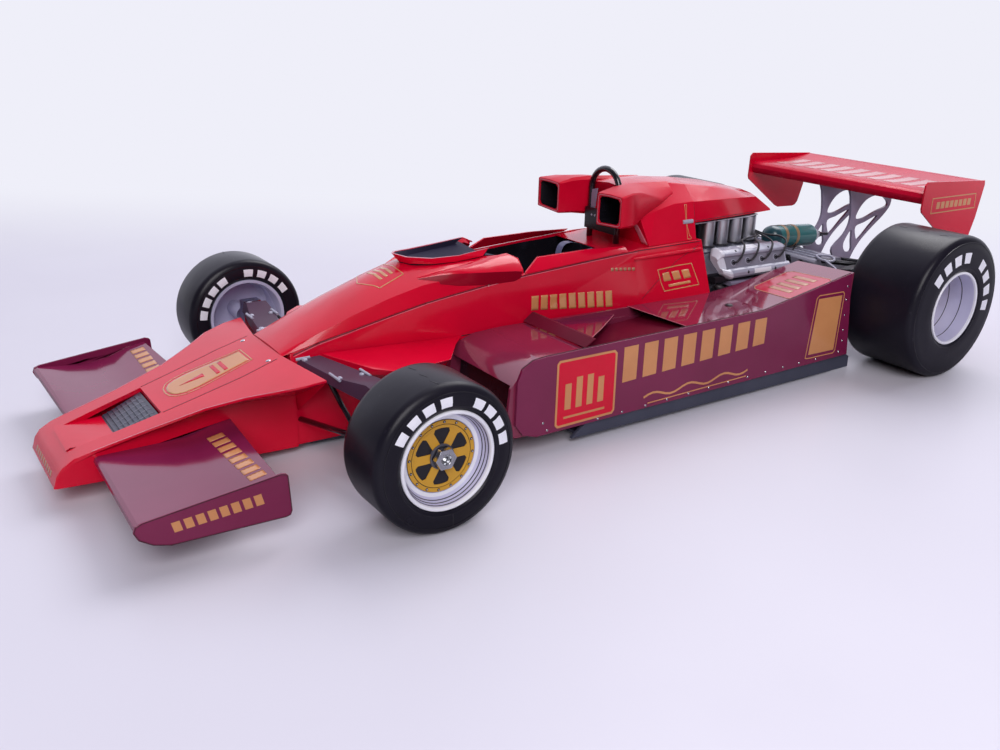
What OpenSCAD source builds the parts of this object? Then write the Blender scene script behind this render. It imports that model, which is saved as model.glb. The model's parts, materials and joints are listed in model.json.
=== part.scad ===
// Open wheel racing car, a 1:12 glossy card model.
// Frame: origin on the floor under the middle of the car's box,
// +X to the nose, +Y to the driver's left, +Z up. Millimetres.

/* [Wheelbase] */
// Front axle position along the car
front_axle_x = 103; // [102:0.5:104]
// Distance between the front and rear axles
wheelbase = 226.5; // [225:0.5:227]

/* [Front wheels] */
// Outer radius of the front tyres
front_tyre_r = 21.15; // [21:0.05:21.3]
// Width of the front tyres
front_tyre_w = 20.5; // [20:0.1:21]
// Middle of the front tyres from the car's centre line
front_track_half = 71; // [70.5:0.1:71.5]

/* [Rear wheels] */
// Outer radius of the rear tyres
rear_tyre_r = 27.7; // [27.5:0.05:27.8]
// Width of the rear tyres
rear_tyre_w = 31.5; // [31:0.1:32]
// Middle of the rear tyres from the car's centre line
rear_track_half = 64; // [63.8:0.1:64.5]

/* [Axles] */
// Radius of the stub axles, a running fit in the hubs
axle_r = 1.5; // [1.4:0.05:1.55]
// Radial clearance of the hubs on the stub axles
axle_gap = 0.05; // [0.03:0.01:0.08]
// Across-flats size of the hexagon wheel nuts
nut_af = 5.5; // [5.4:0.1:5.6]

/* [Card] */
// Thickness of the body panels
card = 0.8; // [0.7:0.05:0.9]

/* [Wings] */
// Half span of the front wing
front_span_half = 61.8; // [61:0.1:62.5]
// Half span of the rear wing
rear_span_half = 46.5; // [46:0.1:47]

/* [Side pods] */
// Outer face of the side plates from the centre line
plate_y = 54.7; // [54.4:0.1:55]

/* [Hidden] */
$fn = 48;
FX = front_axle_x;
RX = front_axle_x - wheelbase;
FZ = front_tyre_r;
RZ = rear_tyre_r;
RED = [0.80, 0.03, 0.10];
MAROON = [0.42, 0.10, 0.22];
SLATE = [0.27, 0.28, 0.35];
BLACK = [0.07, 0.07, 0.08];
STEEL = [0.72, 0.72, 0.76];
LILAC = [0.55, 0.52, 0.62];

// ---------------------------------------------------------------- helpers
// Closed solid through a row of sections, each a loop of the same number
// of points; the sections run along a path and the ends are fanned.
function flat2(v) = [for (s = v) for (p = s) p];
function total(v, i = 0) = i >= len(v) ? 0 : v[i] + total(v, i+1);
function backwards(f) = [for (i = [len(f)-1:-1:0]) f[i]];
module loft(secs) {
  n = len(secs[0]); m = len(secs);
  pts = flat2(secs);
  c = pts[0];
  sides = concat(
    [for (i = [0:m-2]) for (j = [0:n-1]) let (k = (j+1)%n)
      [i*n+j, i*n+k, (i+1)*n+k]],
    [for (i = [0:m-2]) for (j = [0:n-1]) let (k = (j+1)%n)
      [i*n+j, (i+1)*n+k, (i+1)*n+j]],
    [for (j = [1:n-2]) [0, j+1, j]],
    [for (j = [1:n-2]) [(m-1)*n, (m-1)*n+j, (m-1)*n+j+1]]);
  // faces turn clockwise seen from outside
  vol = total([for (f = sides) (pts[f[0]]-c) * cross(pts[f[1]]-c, pts[f[2]]-c)]);
  polyhedron(points = pts, faces = vol > 0 ? [for (f = sides) backwards(f)] : sides,
    convexity = 8);
}
// Mirror a half section given as [x, y, z] points with y >= 0, listed from
// the bottom centre up to the top centre, into a whole loop.
function whole(h) = concat([for (p = h) p],
  [for (i = [len(h)-1:-1:0]) [h[i][0], -h[i][1], h[i][2]]]);
// Flat plate: a polygon of [x, z] points standing across Y from y0 to y1
module plate_xz(pts, y0, y1) {
  translate([0, y1, 0]) rotate([90, 0, 0]) linear_extrude(y1-y0) polygon(pts);
}
// Flat plate: a polygon of [y, z] points standing across X from x0 to x1
module plate_yz(pts, x0, x1) {
  translate([x0, 0, 0]) rotate([90, 0, 90]) linear_extrude(x1-x0) polygon(pts);
}
// Flat plate: a polygon of [x, y] points lying across Z from z0 to z1
module plate_xy(pts, z0, z1) {
  translate([0, 0, z0]) linear_extrude(z1-z0) polygon(pts);
}
// Both sides of the car
module both() { children(); mirror([0, 1, 0]) children(); }
// Round rod between two points
module rod(a, b, r) {
  d = b - a; l = norm(d);
  translate(a) rotate([0, acos(d[2]/l), atan2(d[1], d[0])])
    cylinder(h = l, r = r, $fn = 20);
}
// Sheet through four corners, t thick, along the offset direction n
module sheet(a, b, c, d, n, t) {
  u = n/norm(n)*t;
  loft([[a, b, c, d], [a+u, b+u, c+u, d+u]]);
}

// ------------------------------------------------------------------- nose
// Height of the nose's sloping top plane at X
function nz(x) = 14.0 + 0.25*(180.5-x) + 0.0006*(180.5-x)*(180.5-x);
// Half section of the nose's outside
function nose_half(x, zb, zs, yo, zo, xs = 0, xo = 0) = [
  [x-xs, 0, zb], [x-xs, 15.4, zb], [x-xs, 15.4, zs], [x-xo, yo, zo-0.3],
  [x-xo, yo, zo+0.3], [x, 11, nz(x)+0.15], [x, 0, nz(x)+0.15]];
module nose_cone() color(RED) difference() {
  loft([
    whole([[186.4,0,6.7],[186.4,15.2,6.7],[186.4,15.2,6.9],[186.3,15.0,7.2],[186.2,14.9,7.5],[186.2,10,7.6],[186.2,0,7.6]]),
    whole([[185.6,0,6.6],[185.6,15.4,6.6],[185.6,15.4,9.0],[185.5,15.3,9.6],[185.4,15.2,10.0],[185.3,10.5,10.1],[185.3,0,10.1]]),
    whole([[184.0,0,6.5],[184.0,15.4,6.5],[184.0,15.4,10.8],[183.9,15.3,11.6],[183.8,15.2,12.1],[183.7,10.5,12.2],[183.7,0,12.2]]),
    whole([[180.8,0,6.3],[180.8,15.4,6.3],[180.8,15.4,12.8],[180.7,15.1,13.6],[180.6,15.0,14.0],[180.5,10.5,14.1],[180.5,0,14.1]]),
    whole(nose_half(175, 6.0, 14.4, 15.8, 15.3)),
    whole(nose_half(161, 5.2, 17.2, 17.6, 18.9)),
    whole(nose_half(146, 4.3, 20.0, 20.8, 23.1)),
    whole(nose_half(136, 3.6, 20.8, 25.8, 26.0)),
    whole(nose_half(129, 3.1, 20.4, 30.6, 27.9)),
    whole(nose_half(123, 2.8, 20.0, 33.4, 29.2, 1, 1.5)),
    whole(nose_half(119.6, 2.6, 19.6, 34.2, 30.0, 2.6, 4.4))]);
  // inside, open at the back
  loft([
    whole([[179,0,7.4],[179,14.4,7.4],[179,14.4,11.5],[179,14,12.0],[179,13.5,12.6],[179,9,12.6],[179,0,12.6]]),
    whole([[161,0,6.2],[161,14.5,6.2],[161,14.5,16.8],[161,14,17.6],[161,13.4,17.9],[161,9,18.0],[161,0,18.0]]),
    whole([[135,0,4.6],[135,14.5,4.6],[135,14.5,20.2],[135,14,23.5],[135,13.4,25.0],[135,9,25.4],[135,0,25.4]]),
    whole([[110,0,3.6],[110,14.5,3.6],[110,14.5,19.2],[110,14,26],[110,13.4,30.5],[110,9,32.2],[110,0,32.2]])]);
  // sunk tray in front of the grille, level floor
  loft([
    whole([[180.2,0,14.15],[180.2,8.4,14.15],[180.2,8.4,15]]),
    whole([[168,0,14.15],[168,9.9,14.15],[168,9.9,19]]),
    whole([[155.5,0,14.15],[155.5,11.0,14.15],[155.5,11.0,24]])]);
}
// Floor of the tray and the louvred grille that rises behind it
module nose_grille() color(SLATE) {
  loft([
    whole([[179.9,0,14.2],[179.9,8.2,14.2],[179.9,8.2,14.5]]),
    whole([[168,0,14.2],[168,9.6,14.2],[168,9.6,14.5]]),
    whole([[155.8,0,18.9],[155.8,10.7,18.9],[155.8,10.7,19.6]])]);
  for (i = [0:7]) translate([166.2-i*1.35, -9.3, 14.9+i*0.56])
    rotate([0, 10, 0]) cube([1.1, 18.6, 0.5]);
}

// ------------------------------------------------------------- front wing
// Section of the front wing: rolled leading edge, hollow upper side
function wing_sec(y, xl, zl, xt, zt, dip) = let (c = xl-xt) [
  [xl-0.9, y, zl-1.1], [xl-0.2, y, zl-0.7], [xl, y, zl], [xl-0.3, y, zl+0.8],
  [xl-1.3, y, zl+1.3], [xl-0.12*c, y, zl+1.35-0.25*dip],
  [xl-0.3*c, y, zl+1.3-0.8*dip], [xl-0.48*c, y, zl+1.3-dip],
  [xl-0.66*c, y, zl+1.3-0.75*dip+0.1*(zt-zl)], [xl-0.84*c, y, zt-1.1],
  [xt, y, zt], [xt-0.1, y, zt-0.5], [xl-0.84*c, y, zt-2.1],
  [xl-0.6*c, y, zl-1.4], [xl-0.35*c, y, zl-2.2], [xl-0.12*c, y, zl-1.9]];
module front_wings() color(MAROON) both()
  loft([wing_sec(15.45, 175.8, 12.4, 137.6, 16.6, 0.0),
        wing_sec(38, 176.5, 13.0, 139.4, 17.3, 0.4),
        wing_sec(front_span_half-0.75, 177.2, 13.8, 141.2, 18.2, 1.2)]);
module front_endplates() color(MAROON) both()
  plate_xz([[175.2,15.6],[140.6,19.4],[139.3,19.0],[138.8,18.4],[138.2,8.4],
    [138.7,7.2],[139.9,6.9],[169.0,7.7],[173.2,9.0],[176.4,11.2],[177.4,13.4],
    [176.8,15.0]], front_span_half-0.7, front_span_half);

// --------------------------------------------------------------- monocoque
// Half section of the tub: bottom, chine, shelf line and top edge
function tub_half(x, zb, yb, ys, zs, yt, zt) = [
  [x, 0, zb], [x, yb, zb], [x, ys, zs], [x, yt, zt]];
TUB = [
  [116.9, 2.6, 14.2, 14.3, 26.0, 11.9, 31.6],
  [ 96.0, 2.6, 15.0, 15.6, 28.5, 14.0, 37.0],
  [ 70.0, 2.6, 16.0, 17.4, 29.5, 16.0, 42.8],
  [ 38.0, 2.6, 17.0, 19.0, 30.0, 18.6, 47.3],
  [-14.0, 2.6, 17.0, 22.0, 30.0, 18.8, 50.3],
  [-47.0, 2.6, 17.0, 25.5, 30.5, 18.2, 50.3]];
module monocoque() color(RED) {
  tub();
  // shelf between the seat back and the engine
  plate_xy([[-12,-20.0],[-12,20.0],[-46,20],[-46,-20]], 46.6, 47.4);
}
module tub() difference() {
  loft([for (s = TUB) whole(concat(tub_half(s[0], s[1], s[2], s[3], s[4], s[5], s[6]), [[s[0], 0, s[6]]]))]);
  loft([for (s = TUB) let (x = s[0] > 100 ? s[0]-1 : s[0] < -40 ? s[0]+1 : s[0])
    whole(concat(tub_half(x, s[1]+1, s[2]-1, s[3]-1, s[4], s[5]-1, s[6]+1), [[x, 0, s[6]+1]]))]);
}

// ----------------------------------------------------------- cockpit cover
// Half section of the cover's outside: rail at the tub's edge, shoulder,
// crown edge and middle
COVER = [
  [119.5, 11.6, 31.05, 10.4, 31.8,  8.0, 32.0, 32.2],
  [108.0, 12.9, 34.1, 11.6, 36.2,  7.4, 37.6, 38.2],
  [ 96.0, 14.0, 37.05, 12.4, 40.6,  6.8, 42.8, 43.6],
  [ 84.0, 15.0, 39.8, 13.2, 44.4,  6.2, 47.6, 48.4],
  [ 72.0, 16.0, 42.4, 14.0, 47.4,  6.6, 51.0, 51.9],
  [ 62.0, 16.7, 44.0, 15.6, 48.6, 10.0, 51.4, 51.6],
  [ 50.0, 17.6, 45.7, 17.0, 49.4, 13.6, 52.4, 52.4],
  [ 40.0, 18.3, 47.05, 18.0, 49.6, 14.6, 53.8, 53.8],
  [ 36.0, 18.5, 47.4, 18.1, 49.0, 15.0, 52.2, 52.2]];
module cockpit_cover() color(RED) difference() {
  loft([for (s = COVER) whole([[s[0],0,s[2]],[s[0],s[1],s[2]],[s[0],s[3],s[4]],[s[0],s[5],s[6]],[s[0],0,s[7]]])]);
  // hollow inside
  loft([for (s = COVER) let (x = s[0] > 119 ? s[0]-1 : s[0] < 37 ? s[0]-1 : s[0])
    whole([[x,0,s[2]-1],[x,s[1]-1,s[2]-1],[x,s[3]-0.9,s[4]-0.5],[x,s[5]-0.5,s[6]-0.8],[x,0,s[7]-0.8]])]);
  // cockpit mouth
  plate_xy([[30,-13.4],[42,-13.2],[46,-9.4],[56,-8.2],[64,-6.4],[70,-3.4],[72,0],[70,3.4],[64,6.4],[56,8.2],[46,9.4],[42,13.2],[30,13.4]], 40, 60);
}
// Wrapped screen round the front of the cockpit mouth: foot and top edge
// points of one side, from the back to the middle
SCREEN = [
  [46.6,  9.8, 53.1, 43.6,  8.6, 55.2],
  [56.4,  8.6, 52.1, 55.4,  8.9, 54.1],
  [64.4,  6.8, 51.8, 64.8,  7.4, 53.9],
  [70.6,  3.7, 52.0, 72.2,  4.2, 54.5],
  [72.8,  0.0, 52.2, 75.3,  0.0, 55.2]];
function screen_sec(s, k) = [
  [s[0], k*s[1], s[2]], [s[0]+0.5, k*(s[1]+0.5), s[2]],
  [s[3]+0.5, k*(s[4]+0.4), s[5]], [s[3], k*s[4], s[5]]];
module windscreen() color([0.75, 0.04, 0.12])
  loft(concat([for (s = SCREEN) screen_sec(s, 1)],
    [for (i = [3:-1:0]) screen_sec(SCREEN[i], -1)]));
module cockpit_sides() color(RED) both()
  loft([
    [[35.5,18.9,47.5],[35.5,18.1,47.5],[34.9,17.9,48.3],[34.9,18.7,48.3]],
    [[29.0,19.0,48.0],[29.0,18.2,48.0],[29.0,15.9,52.0],[29.0,16.7,52.0]],
    [[ 8.0,19.2,49.1],[ 8.0,18.4,49.1],[ 8.0,15.9,52.2],[ 8.0,16.7,52.2]],
    [[-9.5,19.1,50.15],[-9.5,18.3,50.15],[-9.5,15.9,51.6],[-9.5,16.7,51.6]]]);
module seat() color(BLACK) difference() {
  loft([
    [[36,-12,4.5],[36,12,4.5],[36,13.5,12],[36,-13.5,12]],
    [[ 8,-13,4.2],[ 8,13,4.2],[ 8,15.5,14],[ 8,-15.5,14]],
    [[-4,-13,4.2],[-4,13,4.2],[-8,14.5,46],[-8,-14.5,46]],
    [[-8,-13,4.2],[-8,13,4.2],[-11.6,14.5,46],[-11.6,-14.5,46]]]);
  loft([
    [[40,-10,7.5],[40,10,7.5],[40,12,15],[40,-12,15]],
    [[12,-11,6.5],[12,11,6.5],[12,13.5,17],[12,-13.5,17]],
    [[-1,-11,7.0],[-1,11,7.0],[-4.5,12.5,50],[-4.5,-12.5,50]]]);
}
module steering_wheel() color(BLACK) translate([41, 0, 39.5]) rotate([0, -62, 0]) {
  rotate_extrude($fn = 64) translate([9.2, 0]) circle(r = 0.9, $fn = 24);
  difference() {
    cylinder(h = 0.8, r = 2.2, center = true);
    cylinder(h = 2, r = 0.8, center = true);
  }
  for (a = [0, 120, 240]) rotate([0, 0, a]) translate([1.6, -0.8, -0.3]) cube([7.2, 1.6, 0.6]);
  translate([0, 0, -14]) cylinder(h = 13.8, r = 1.0);
}
module dashboard() color(BLACK)
  plate_yz([[-14.2,34],[14.2,34],[14.2,43.5],[11.5,47.4],[6,49.2],[-6,49.2],[-11.5,47.4],[-14.2,43.5]], 57, 58.2);

// ---------------------------------------------------------------- roll bar
// Round tube swept along a path of points that lies in a plane across X
module sweep_yz(path, r, n = 12) {
  m = len(path);
  loft([for (i = [0:m-1]) let (
      d = path[min(i+1, m-1)] - path[max(i-1, 0)],
      t = d/norm(d), side = [1, 0, 0], up = cross(t, side))
    [for (k = [0:n-1]) path[i] + r*(cos(k*360/n)*side + sin(k*360/n)*up)]]);
}
// Round tube swept along a path that runs mostly along X
module pipe(path, r, n = 12) {
  m = len(path);
  loft([for (i = [0:m-1]) let (
      d = path[min(i+1, m-1)] - path[max(i-1, 0)], t = d/norm(d),
      c = cross([0, 0, 1], t), side = c/norm(c), up = cross(t, side))
    [for (k = [0:n-1]) path[i] + r*(cos(k*360/n)*side + sin(k*360/n)*up)]]);
}
HOOP_R = 7.7; HOOP_X = -13.3;
module roll_hoop() color(BLACK)
  sweep_yz(concat([[HOOP_X, HOOP_R, 47.5], [HOOP_X, HOOP_R, 58]],
    [for (a = [0:12:180]) [HOOP_X, HOOP_R*cos(a), 68.7 + HOOP_R*sin(a)]],
    [[HOOP_X, -HOOP_R, 58], [HOOP_X, -HOOP_R, 47.5]]), 1.15);
module hoop_panel() color([0.14, 0.14, 0.17])
  loft([
    [[-11.3,-8.6,53.6],[-11.3,8.6,53.6],[-11.3,8.6,61.5],[-11.3,-8.6,61.5]],
    [[-12.1,-8.6,53.6],[-12.1,8.6,53.6],[-12.1,8.6,61.5],[-12.1,-8.6,61.5]]]);

// ------------------------------------------------------------ engine cover
// Half sections of the cover: rail, shoulder, crown edge, middle
ECOV = [
  [-14.5, 18.0, 50.4, 15.6, 60.5,  8.6, 70.6, 71.4],
  [-24.0, 18.0, 50.4, 15.4, 62.5,  8.6, 71.4, 72.2],
  [-34.0, 17.8, 50.4, 14.9, 64.2,  8.4, 71.4, 72.3],
  [-45.0, 17.4, 50.4, 14.2, 64.2,  8.2, 69.8, 71.4]];
// how far the foot and the shoulder of a section sit behind its crown
function lean(x) = x > -20 ? [6, 2.7] : x > -30 ? [2, 0.8] : [0, 0];
function ecov_sec(s, x, d, e) = let (l = lean(s[0])) whole([[x-l[0],0,s[2]-e],[x-l[0],s[1]-d,s[2]-e],
  [x-l[1],s[3]-d*0.9,s[4]-d*0.4],[x,s[5]-d*0.5,s[6]-d*0.8],[x,0,s[7]-d*0.8]]);
module ecov_solid() loft([for (s = ECOV) ecov_sec(s, s[0], 0, 0)]);
module engine_cover() color(RED) difference() {
  ecov_solid();
  loft([for (s = ECOV) ecov_sec(s, s[0] > -20 ? s[0]-0.9 : s[0] < -40 ? s[0]-1 : s[0], 1, 1)]);
}
RCOW = [
  [ -45.2, 14.0, 55.9, 13.9, 64.0,  8.0, 69.8, 71.3],
  [ -60.0, 12.8, 55.8, 12.4, 63.3,  7.6, 67.6, 69.3],
  [ -74.0, 11.2, 55.6, 10.4, 62.6,  7.0, 64.8, 66.4],
  [ -86.0,  9.6, 55.4,  8.6, 61.8,  5.6, 62.8, 63.6],
  [ -96.5,  8.0, 55.2,  7.6, 55.9,  5.0, 56.2, 56.4]];
module rear_cowl() color(RED) difference() {
  loft([for (s = RCOW) whole([[s[0],0,s[2]],[s[0],s[1],s[2]],[s[0],s[3],s[4]],[s[0],s[5],s[6]],[s[0],0,s[7]]])]);
  loft([for (s = RCOW) let (x = s[0] > -46 ? s[0]+1 : s[0] < -90 ? s[0]+4 : s[0])
    whole([[x,0,s[2]-1],[x,s[1]-0.9,s[2]-1],[x,s[3]-0.9,s[4]-0.4],[x,s[5]-0.5,s[6]-0.8],[x,0,s[7]-0.8]])]);
}
// Air boxes either side of the roll hoop, each a tapering duct
module air_intake() difference() {
  loft([
    [[-0.5,11,59.0],[-0.5,24,59.8],[-0.5,24,70.6],[-0.5,11,70.4]],
    [[-8,11.0,60.0],[-8,21.6,61.2],[-8,21.4,70.2],[-8,11.0,70.9]],
    [[-16,11.0,61.4],[-16,18.6,62.6],[-16,18.4,68.4],[-16,11.0,70.0]],
    [[-24,11.0,63.0],[-24,15.9,64.2],[-24,15.7,66.0],[-24,11.0,68.2]]]);
  loft([
    [[0.5,12.0,60.1],[0.5,23,60.8],[0.5,23,69.7],[0.5,12.0,69.6]],
    [[-8,12.0,61.2],[-8,20.6,62.2],[-8,20.4,69.2],[-8,12.0,69.9]],
    [[-13,12.2,62.0],[-13,18.6,62.8],[-13,18.4,68.2],[-13,12.2,69.2]]]);
}
module air_intakes() color(RED) difference() {
  both() air_intake();
  ecov_solid();
}

// ------------------------------------------------------------------ engine
module engine_block() color([0.30, 0.30, 0.33])
  plate_yz([[-9,8],[9,8],[12,20],[17,33],[21,37],[15,43.1],
    [-15,43.1],[-21,37],[-17,33],[-12,20]], -93, -48.2);
module cam_covers() color(STEEL) both()
  loft([
    [[-50,21.2,37.3],[-50,23.6,39.2],[-50,20.4,44.8],[-50,15.4,46.2],[-50,15.3,43.8]],
    [[-55,21.2,37.3],[-55,24.8,38.2],[-55,21.6,45.6],[-55,15.4,47.4],[-55,15.3,43.8]],
    [[-90,21.2,37.3],[-90,24.8,38.2],[-90,21.6,45.6],[-90,15.4,47.4],[-90,15.3,43.8]],
    [[-93,21.2,37.3],[-93,23.6,39.2],[-93,20.4,44.8],[-93,15.4,46.2],[-93,15.3,43.8]]]);
module intake_trumpets() color(STEEL) {
  both() for (i = [0:3]) translate([-58.5-i*8.4, 6.6, 0]) difference() {
    union() {
      translate([0, 0, 43.2]) cylinder(h = 8.8, r = 2.3, $fn = 32);
      translate([0, 0, 51.6]) cylinder(h = 1.4, r1 = 2.3, r2 = 3.2, $fn = 32);
    }
    translate([0, 0, 44]) cylinder(h = 11, r = 1.8, $fn = 32);
  }
  // slide tray that joins the eight
  difference() {
    translate([-88.5, -9.5, 43.2]) cube([35, 19, 1.2]);
    translate([-86, -2.5, 42]) cube([30, 5, 4]);
  }
}
module gearbox() color([0.45, 0.45, 0.50]) {
  loft([
    [[-93.1,-9,10],[-93.1,9,10],[-93.1,11,24],[-93.1,6,34],[-93.1,-6,34],[-93.1,-11,24]],
    [[-112,-8,11],[-112,8,11],[-112,9,23],[-112,5,31],[-112,-5,31],[-112,-9,23]],
    [[-132,-7.4,13],[-132,7.4,13],[-132,8,23],[-132,5,30],[-132,-5,30],[-132,-8,23]],
    [[-158,-5,16],[-158,5,16],[-158,6,22],[-158,4,27],[-158,-4,27],[-158,-6,22]]]);
}
module air_bottle() color([0.10, 0.38, 0.38]) translate([-102, 0, 42.2]) rotate([0, -94, 0]) {
  rotate_extrude() polygon([[0,0],[3.4,0],[4.7,2.2],[4.7,30],[3.4,33.5],[1.2,34.6],[1.2,38.5],[0,38.5]]);
}
module exhausts() color([0.35, 0.33, 0.36]) both() {
  for (i = [0:3]) rod([-56-i*9.2, 19.0, 31.6], [-59-i*9.2, 21.4, 29.6], 1.1);
  pipe([[-54, 23.4, 27.4], [-78, 22.8, 27.4], [-100, 21.4, 27.6], [-112, 19.6, 28.2],
    [-124, 17.4, 28.6], [-146, 13.5, 28.4]], 1.8);
}

// --------------------------------------------------------------- side pods
// Half section (left side) of the pod's shell: inner bottom, outer bottom,
// outer top, inner top
POD = [
  [ 66.0, 17.6, 9.0, 13.0, 16.0],
  [ 65.0, 17.8, 8.0, 24.0, 24.0],
  [ 62.0, 18.0, 7.4, 27.6, 27.8],
  [ 56.0, 18.6, 7.0, 30.2, 30.2],
  [ 46.0, 19.4, 6.8, 31.4, 31.0],
  [  0.0, 22.6, 6.8, 31.8, 31.0],
  [-42.0, 25.8, 6.8, 31.9, 31.2],
  [-60.0, 26.0, 6.8, 33.6, 32.8],
  [-94.0, 27.0, 6.8, 39.6, 38.4]];
module pod() difference() {
  loft([for (s = POD) [[s[0],s[1],s[2]],[s[0],plate_y-1.05,s[2]],[s[0],plate_y-1.05,s[3]],[s[0],s[1],s[4]]]]);
  // hollow
  loft([
    [[70,20,10],[70,52.6,10],[70,52.6,23],[70,20,23]],
    [[60,20,8.4],[60,52.6,8.4],[60,52.6,26],[60,20,26]],
    [[44,21.6,7.8],[44,52.6,7.8],[44,52.6,30.3],[44,21.6,30]],
    [[-42,27,7.8],[-42,52.6,7.8],[-42,52.6,30.8],[-42,27,30.2]],
    [[-96,28.4,7.8],[-96,52.6,7.8],[-96,52.6,38],[-96,28.4,37]]]);
  // hot air outlet behind the flap
  plate_xy([[34,22.4],[34,52.6],[-14,52.6],[-44,26.6],[-44,26.5],[-20,24.8]], 28, 34);
}
module sidepod_left() color(MAROON) pod();
module sidepod_right() color(MAROON) mirror([0, 1, 0]) pod();
module side_plates() color(MAROON) both()
  plate_xz([[63.4,12],[63.2,26],[61.4,30],[57.5,32],[53,32.4],[-44,32.4],
    [-91.2,39.9],[-96,6.7],[-10,6.6],[55.5,6.6],[60.5,8.2]], plate_y-1, plate_y);
module skirts() color(SLATE) both()
  plate_xz([[40.4,2.0],[37.4,4.4],[34.2,6.8],[-96,6.8],[-99,5.0],[-99.2,0.6],[-60,0.9]], plate_y-2.4, plate_y-1.1);
// Upright lip across the pod in front of the hot air outlet, with the two
// sloping panels that guide the air out of it
module radiator_flaps() color([0.34, 0.06, 0.14]) both() {
  loft([
    [[36.6,19.9,31.5],[35.8,19.9,31.5],[32.2,19.9,34.2],[33.0,19.9,34.2]],
    [[36.6,53.0,32.0],[35.8,53.0,32.0],[32.2,53.0,34.2],[33.0,53.0,34.2]]]);
  sheet([31,24,24],[31,52,24],[-10,52,30.8],[-38,28,30.2],[0,0,-1],0.7);
}
module floor_pan() color([0.20, 0.20, 0.24]) difference() {
  plate_xy([[112,13],[66,16],[42,17],[36,52],[-90,52],[-96,46],[-96,30],[-60,24],[-60,-24],
    [-96,-30],[-96,-46],[-90,-52],[36,-52],[42,-17],[66,-16],[112,-13]], 1.6, 2.5);
}

// -------------------------------------------------------------- suspension
module front_rocker_arms() color(LILAC) both()
  loft([
    [[116.6,15.6,29.2],[115.6,15.6,31.0],[108.8,15.6,31.0],[108.8,15.6,29.2]],
    [[112.6,34,27.4],[112.0,34,30.2],[102.6,34,30.0],[102.6,34,26.6]],
    [[109.4,46,26.4],[108.8,46,31.4],[101.6,46,31.2],[101.6,46,26.2]],
    [[107.0,56.0,25.2],[106.4,56.0,28.2],[100.6,56.0,28.2],[100.2,56.0,25.2]]]);
// Shelves beside the tub that cover the inboard ends of the suspension
module suspension_fairings() color(RED) both()
  loft([
    [[108,15.6,28.0],[99.5,31.4,28.0],[93,36.4,28.0],[76,34.0,28.0],[68,23.8,28.0],[61.5,18.6,28.2]],
    [[108,15.2,31.2],[99.5,32.4,30.2],[93,38.4,30.0],[75,36.0,29.9],[66,24.4,29.8],[60.0,18.2,29.8]]]);
module front_wishbones() color(BLACK) both() {
  rod([115.4, 14.0, 11.0], [105, 56.6, 15.2], 0.9);
  rod([88, 14.6, 9.5], [102, 56.6, 15.2], 0.9);
}
module front_uprights() color(STEEL) both() {
  translate([FX-3.2, 56, FZ-7.5]) cube([6.4, 4.2, 15]);
  translate([FX, 60.0, FZ]) rotate([-90, 0, 0]) cylinder(h = 17.9, r = axle_r);
  translate([FX, 60.0, FZ]) rotate([-90, 0, 0]) cylinder(h = 4.6, r = 3.2);
}
module rear_uprights() color(STEEL) both() {
  translate([RX-4, 42.6, RZ-10]) cube([8, 4.2, 20]);
  translate([RX, 46.6, RZ]) rotate([-90, 0, 0]) cylinder(h = 21.0, r = axle_r);
  translate([RX, 46.6, RZ]) rotate([-90, 0, 0]) cylinder(h = 6.0, r = 3.4);
}
module rear_links() color([0.50, 0.50, 0.55]) both() {
  rod([RX+2.6, 43, RZ+8.6], [-108, 8, 34.5], 1.0);
  rod([RX-2.6, 43, RZ+8.6], [-134, 6, 31], 1.0);
  rod([RX+2.6, 43, RZ-8.4], [-106, 8.6, 15], 1.0);
  rod([RX-2.6, 43, RZ-8.4], [-138, 6.6, 16], 1.0);
}
module driveshafts() color([0.30, 0.30, 0.33]) both()
  rod([RX, 7.6, RZ-4], [RX, 43, RZ-0.5], 1.5);

// --------------------------------------------------------------- rear wing
// Section of the rear wing: rolled leading edge and thin tail
function rwing(y) = [
  [-145.4,y,59.6],[-144.4,y,60.8],[-144.0,y,62.4],[-144.6,y,64.0],[-146.2,y,64.9],
  [-152,y,65.2],[-162,y,65.0],[-174,y,65.4],[-185.8,y,66.6],[-186.0,y,66.0],
  [-174,y,64.2],[-162,y,62.6],[-152,y,60.6]];
module rear_wing() color(RED) loft([for (y = [-rear_span_half+0.75, rear_span_half-0.75]) rwing(y)]);
module rear_endplates() color(RED) both()
  plate_xz([[-144.4,69.0],[-185.9,66.8],[-186.4,65.0],[-183.8,51],[-181.2,43],[-179.6,41.3],
    [-177.6,40.8],[-166.6,41.2],[-164.4,42.2],[-143.2,56.6],[-142.6,58],[-142.8,67.6]],
    rear_span_half-0.7, rear_span_half);
module wing_post() difference() {
  plate_xz([[-149,26],[-151,40],[-147,61],[-176,63],[-172,46],[-162,26]], 7.2, 8.2);
  plate_xz([[-153,44],[-152,56],[-163,59.5],[-166,57]], 6, 9.5);
  plate_xz([[-155,41],[-168,54],[-167,45],[-161,34]], 6, 9.5);
}
module rear_wing_posts() color(LILAC) difference() {
  both() wing_post();
  rear_wing();
}

// ------------------------------------------------------------------ wheels
// Tyre: open-backed carcass with rounded shoulders, turned about its axle
module tyre(r, w, ri) color(BLACK) rotate([90, 0, 0]) translate([0, 0, -w/2])
  rotate_extrude($fn = 96) polygon([
    [ri, 0.9], [ri+0.9, 0.25], [ri+2.4, 0], [r-2.6, 0.35], [r-1.0, 0.9],
    [r-0.25, 1.9], [r, 3.2], [r, w-3.2], [r-0.25, w-1.9], [r-1.0, w-0.9],
    [r-2.6, w-0.35], [ri+2.4, w], [ri+0.9, w-0.25], [ri, w-0.9],
    [ri, w-2.2], [r-3.4, w-2.6], [r-3.4, 2.6], [ri, 2.2]]);
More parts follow.
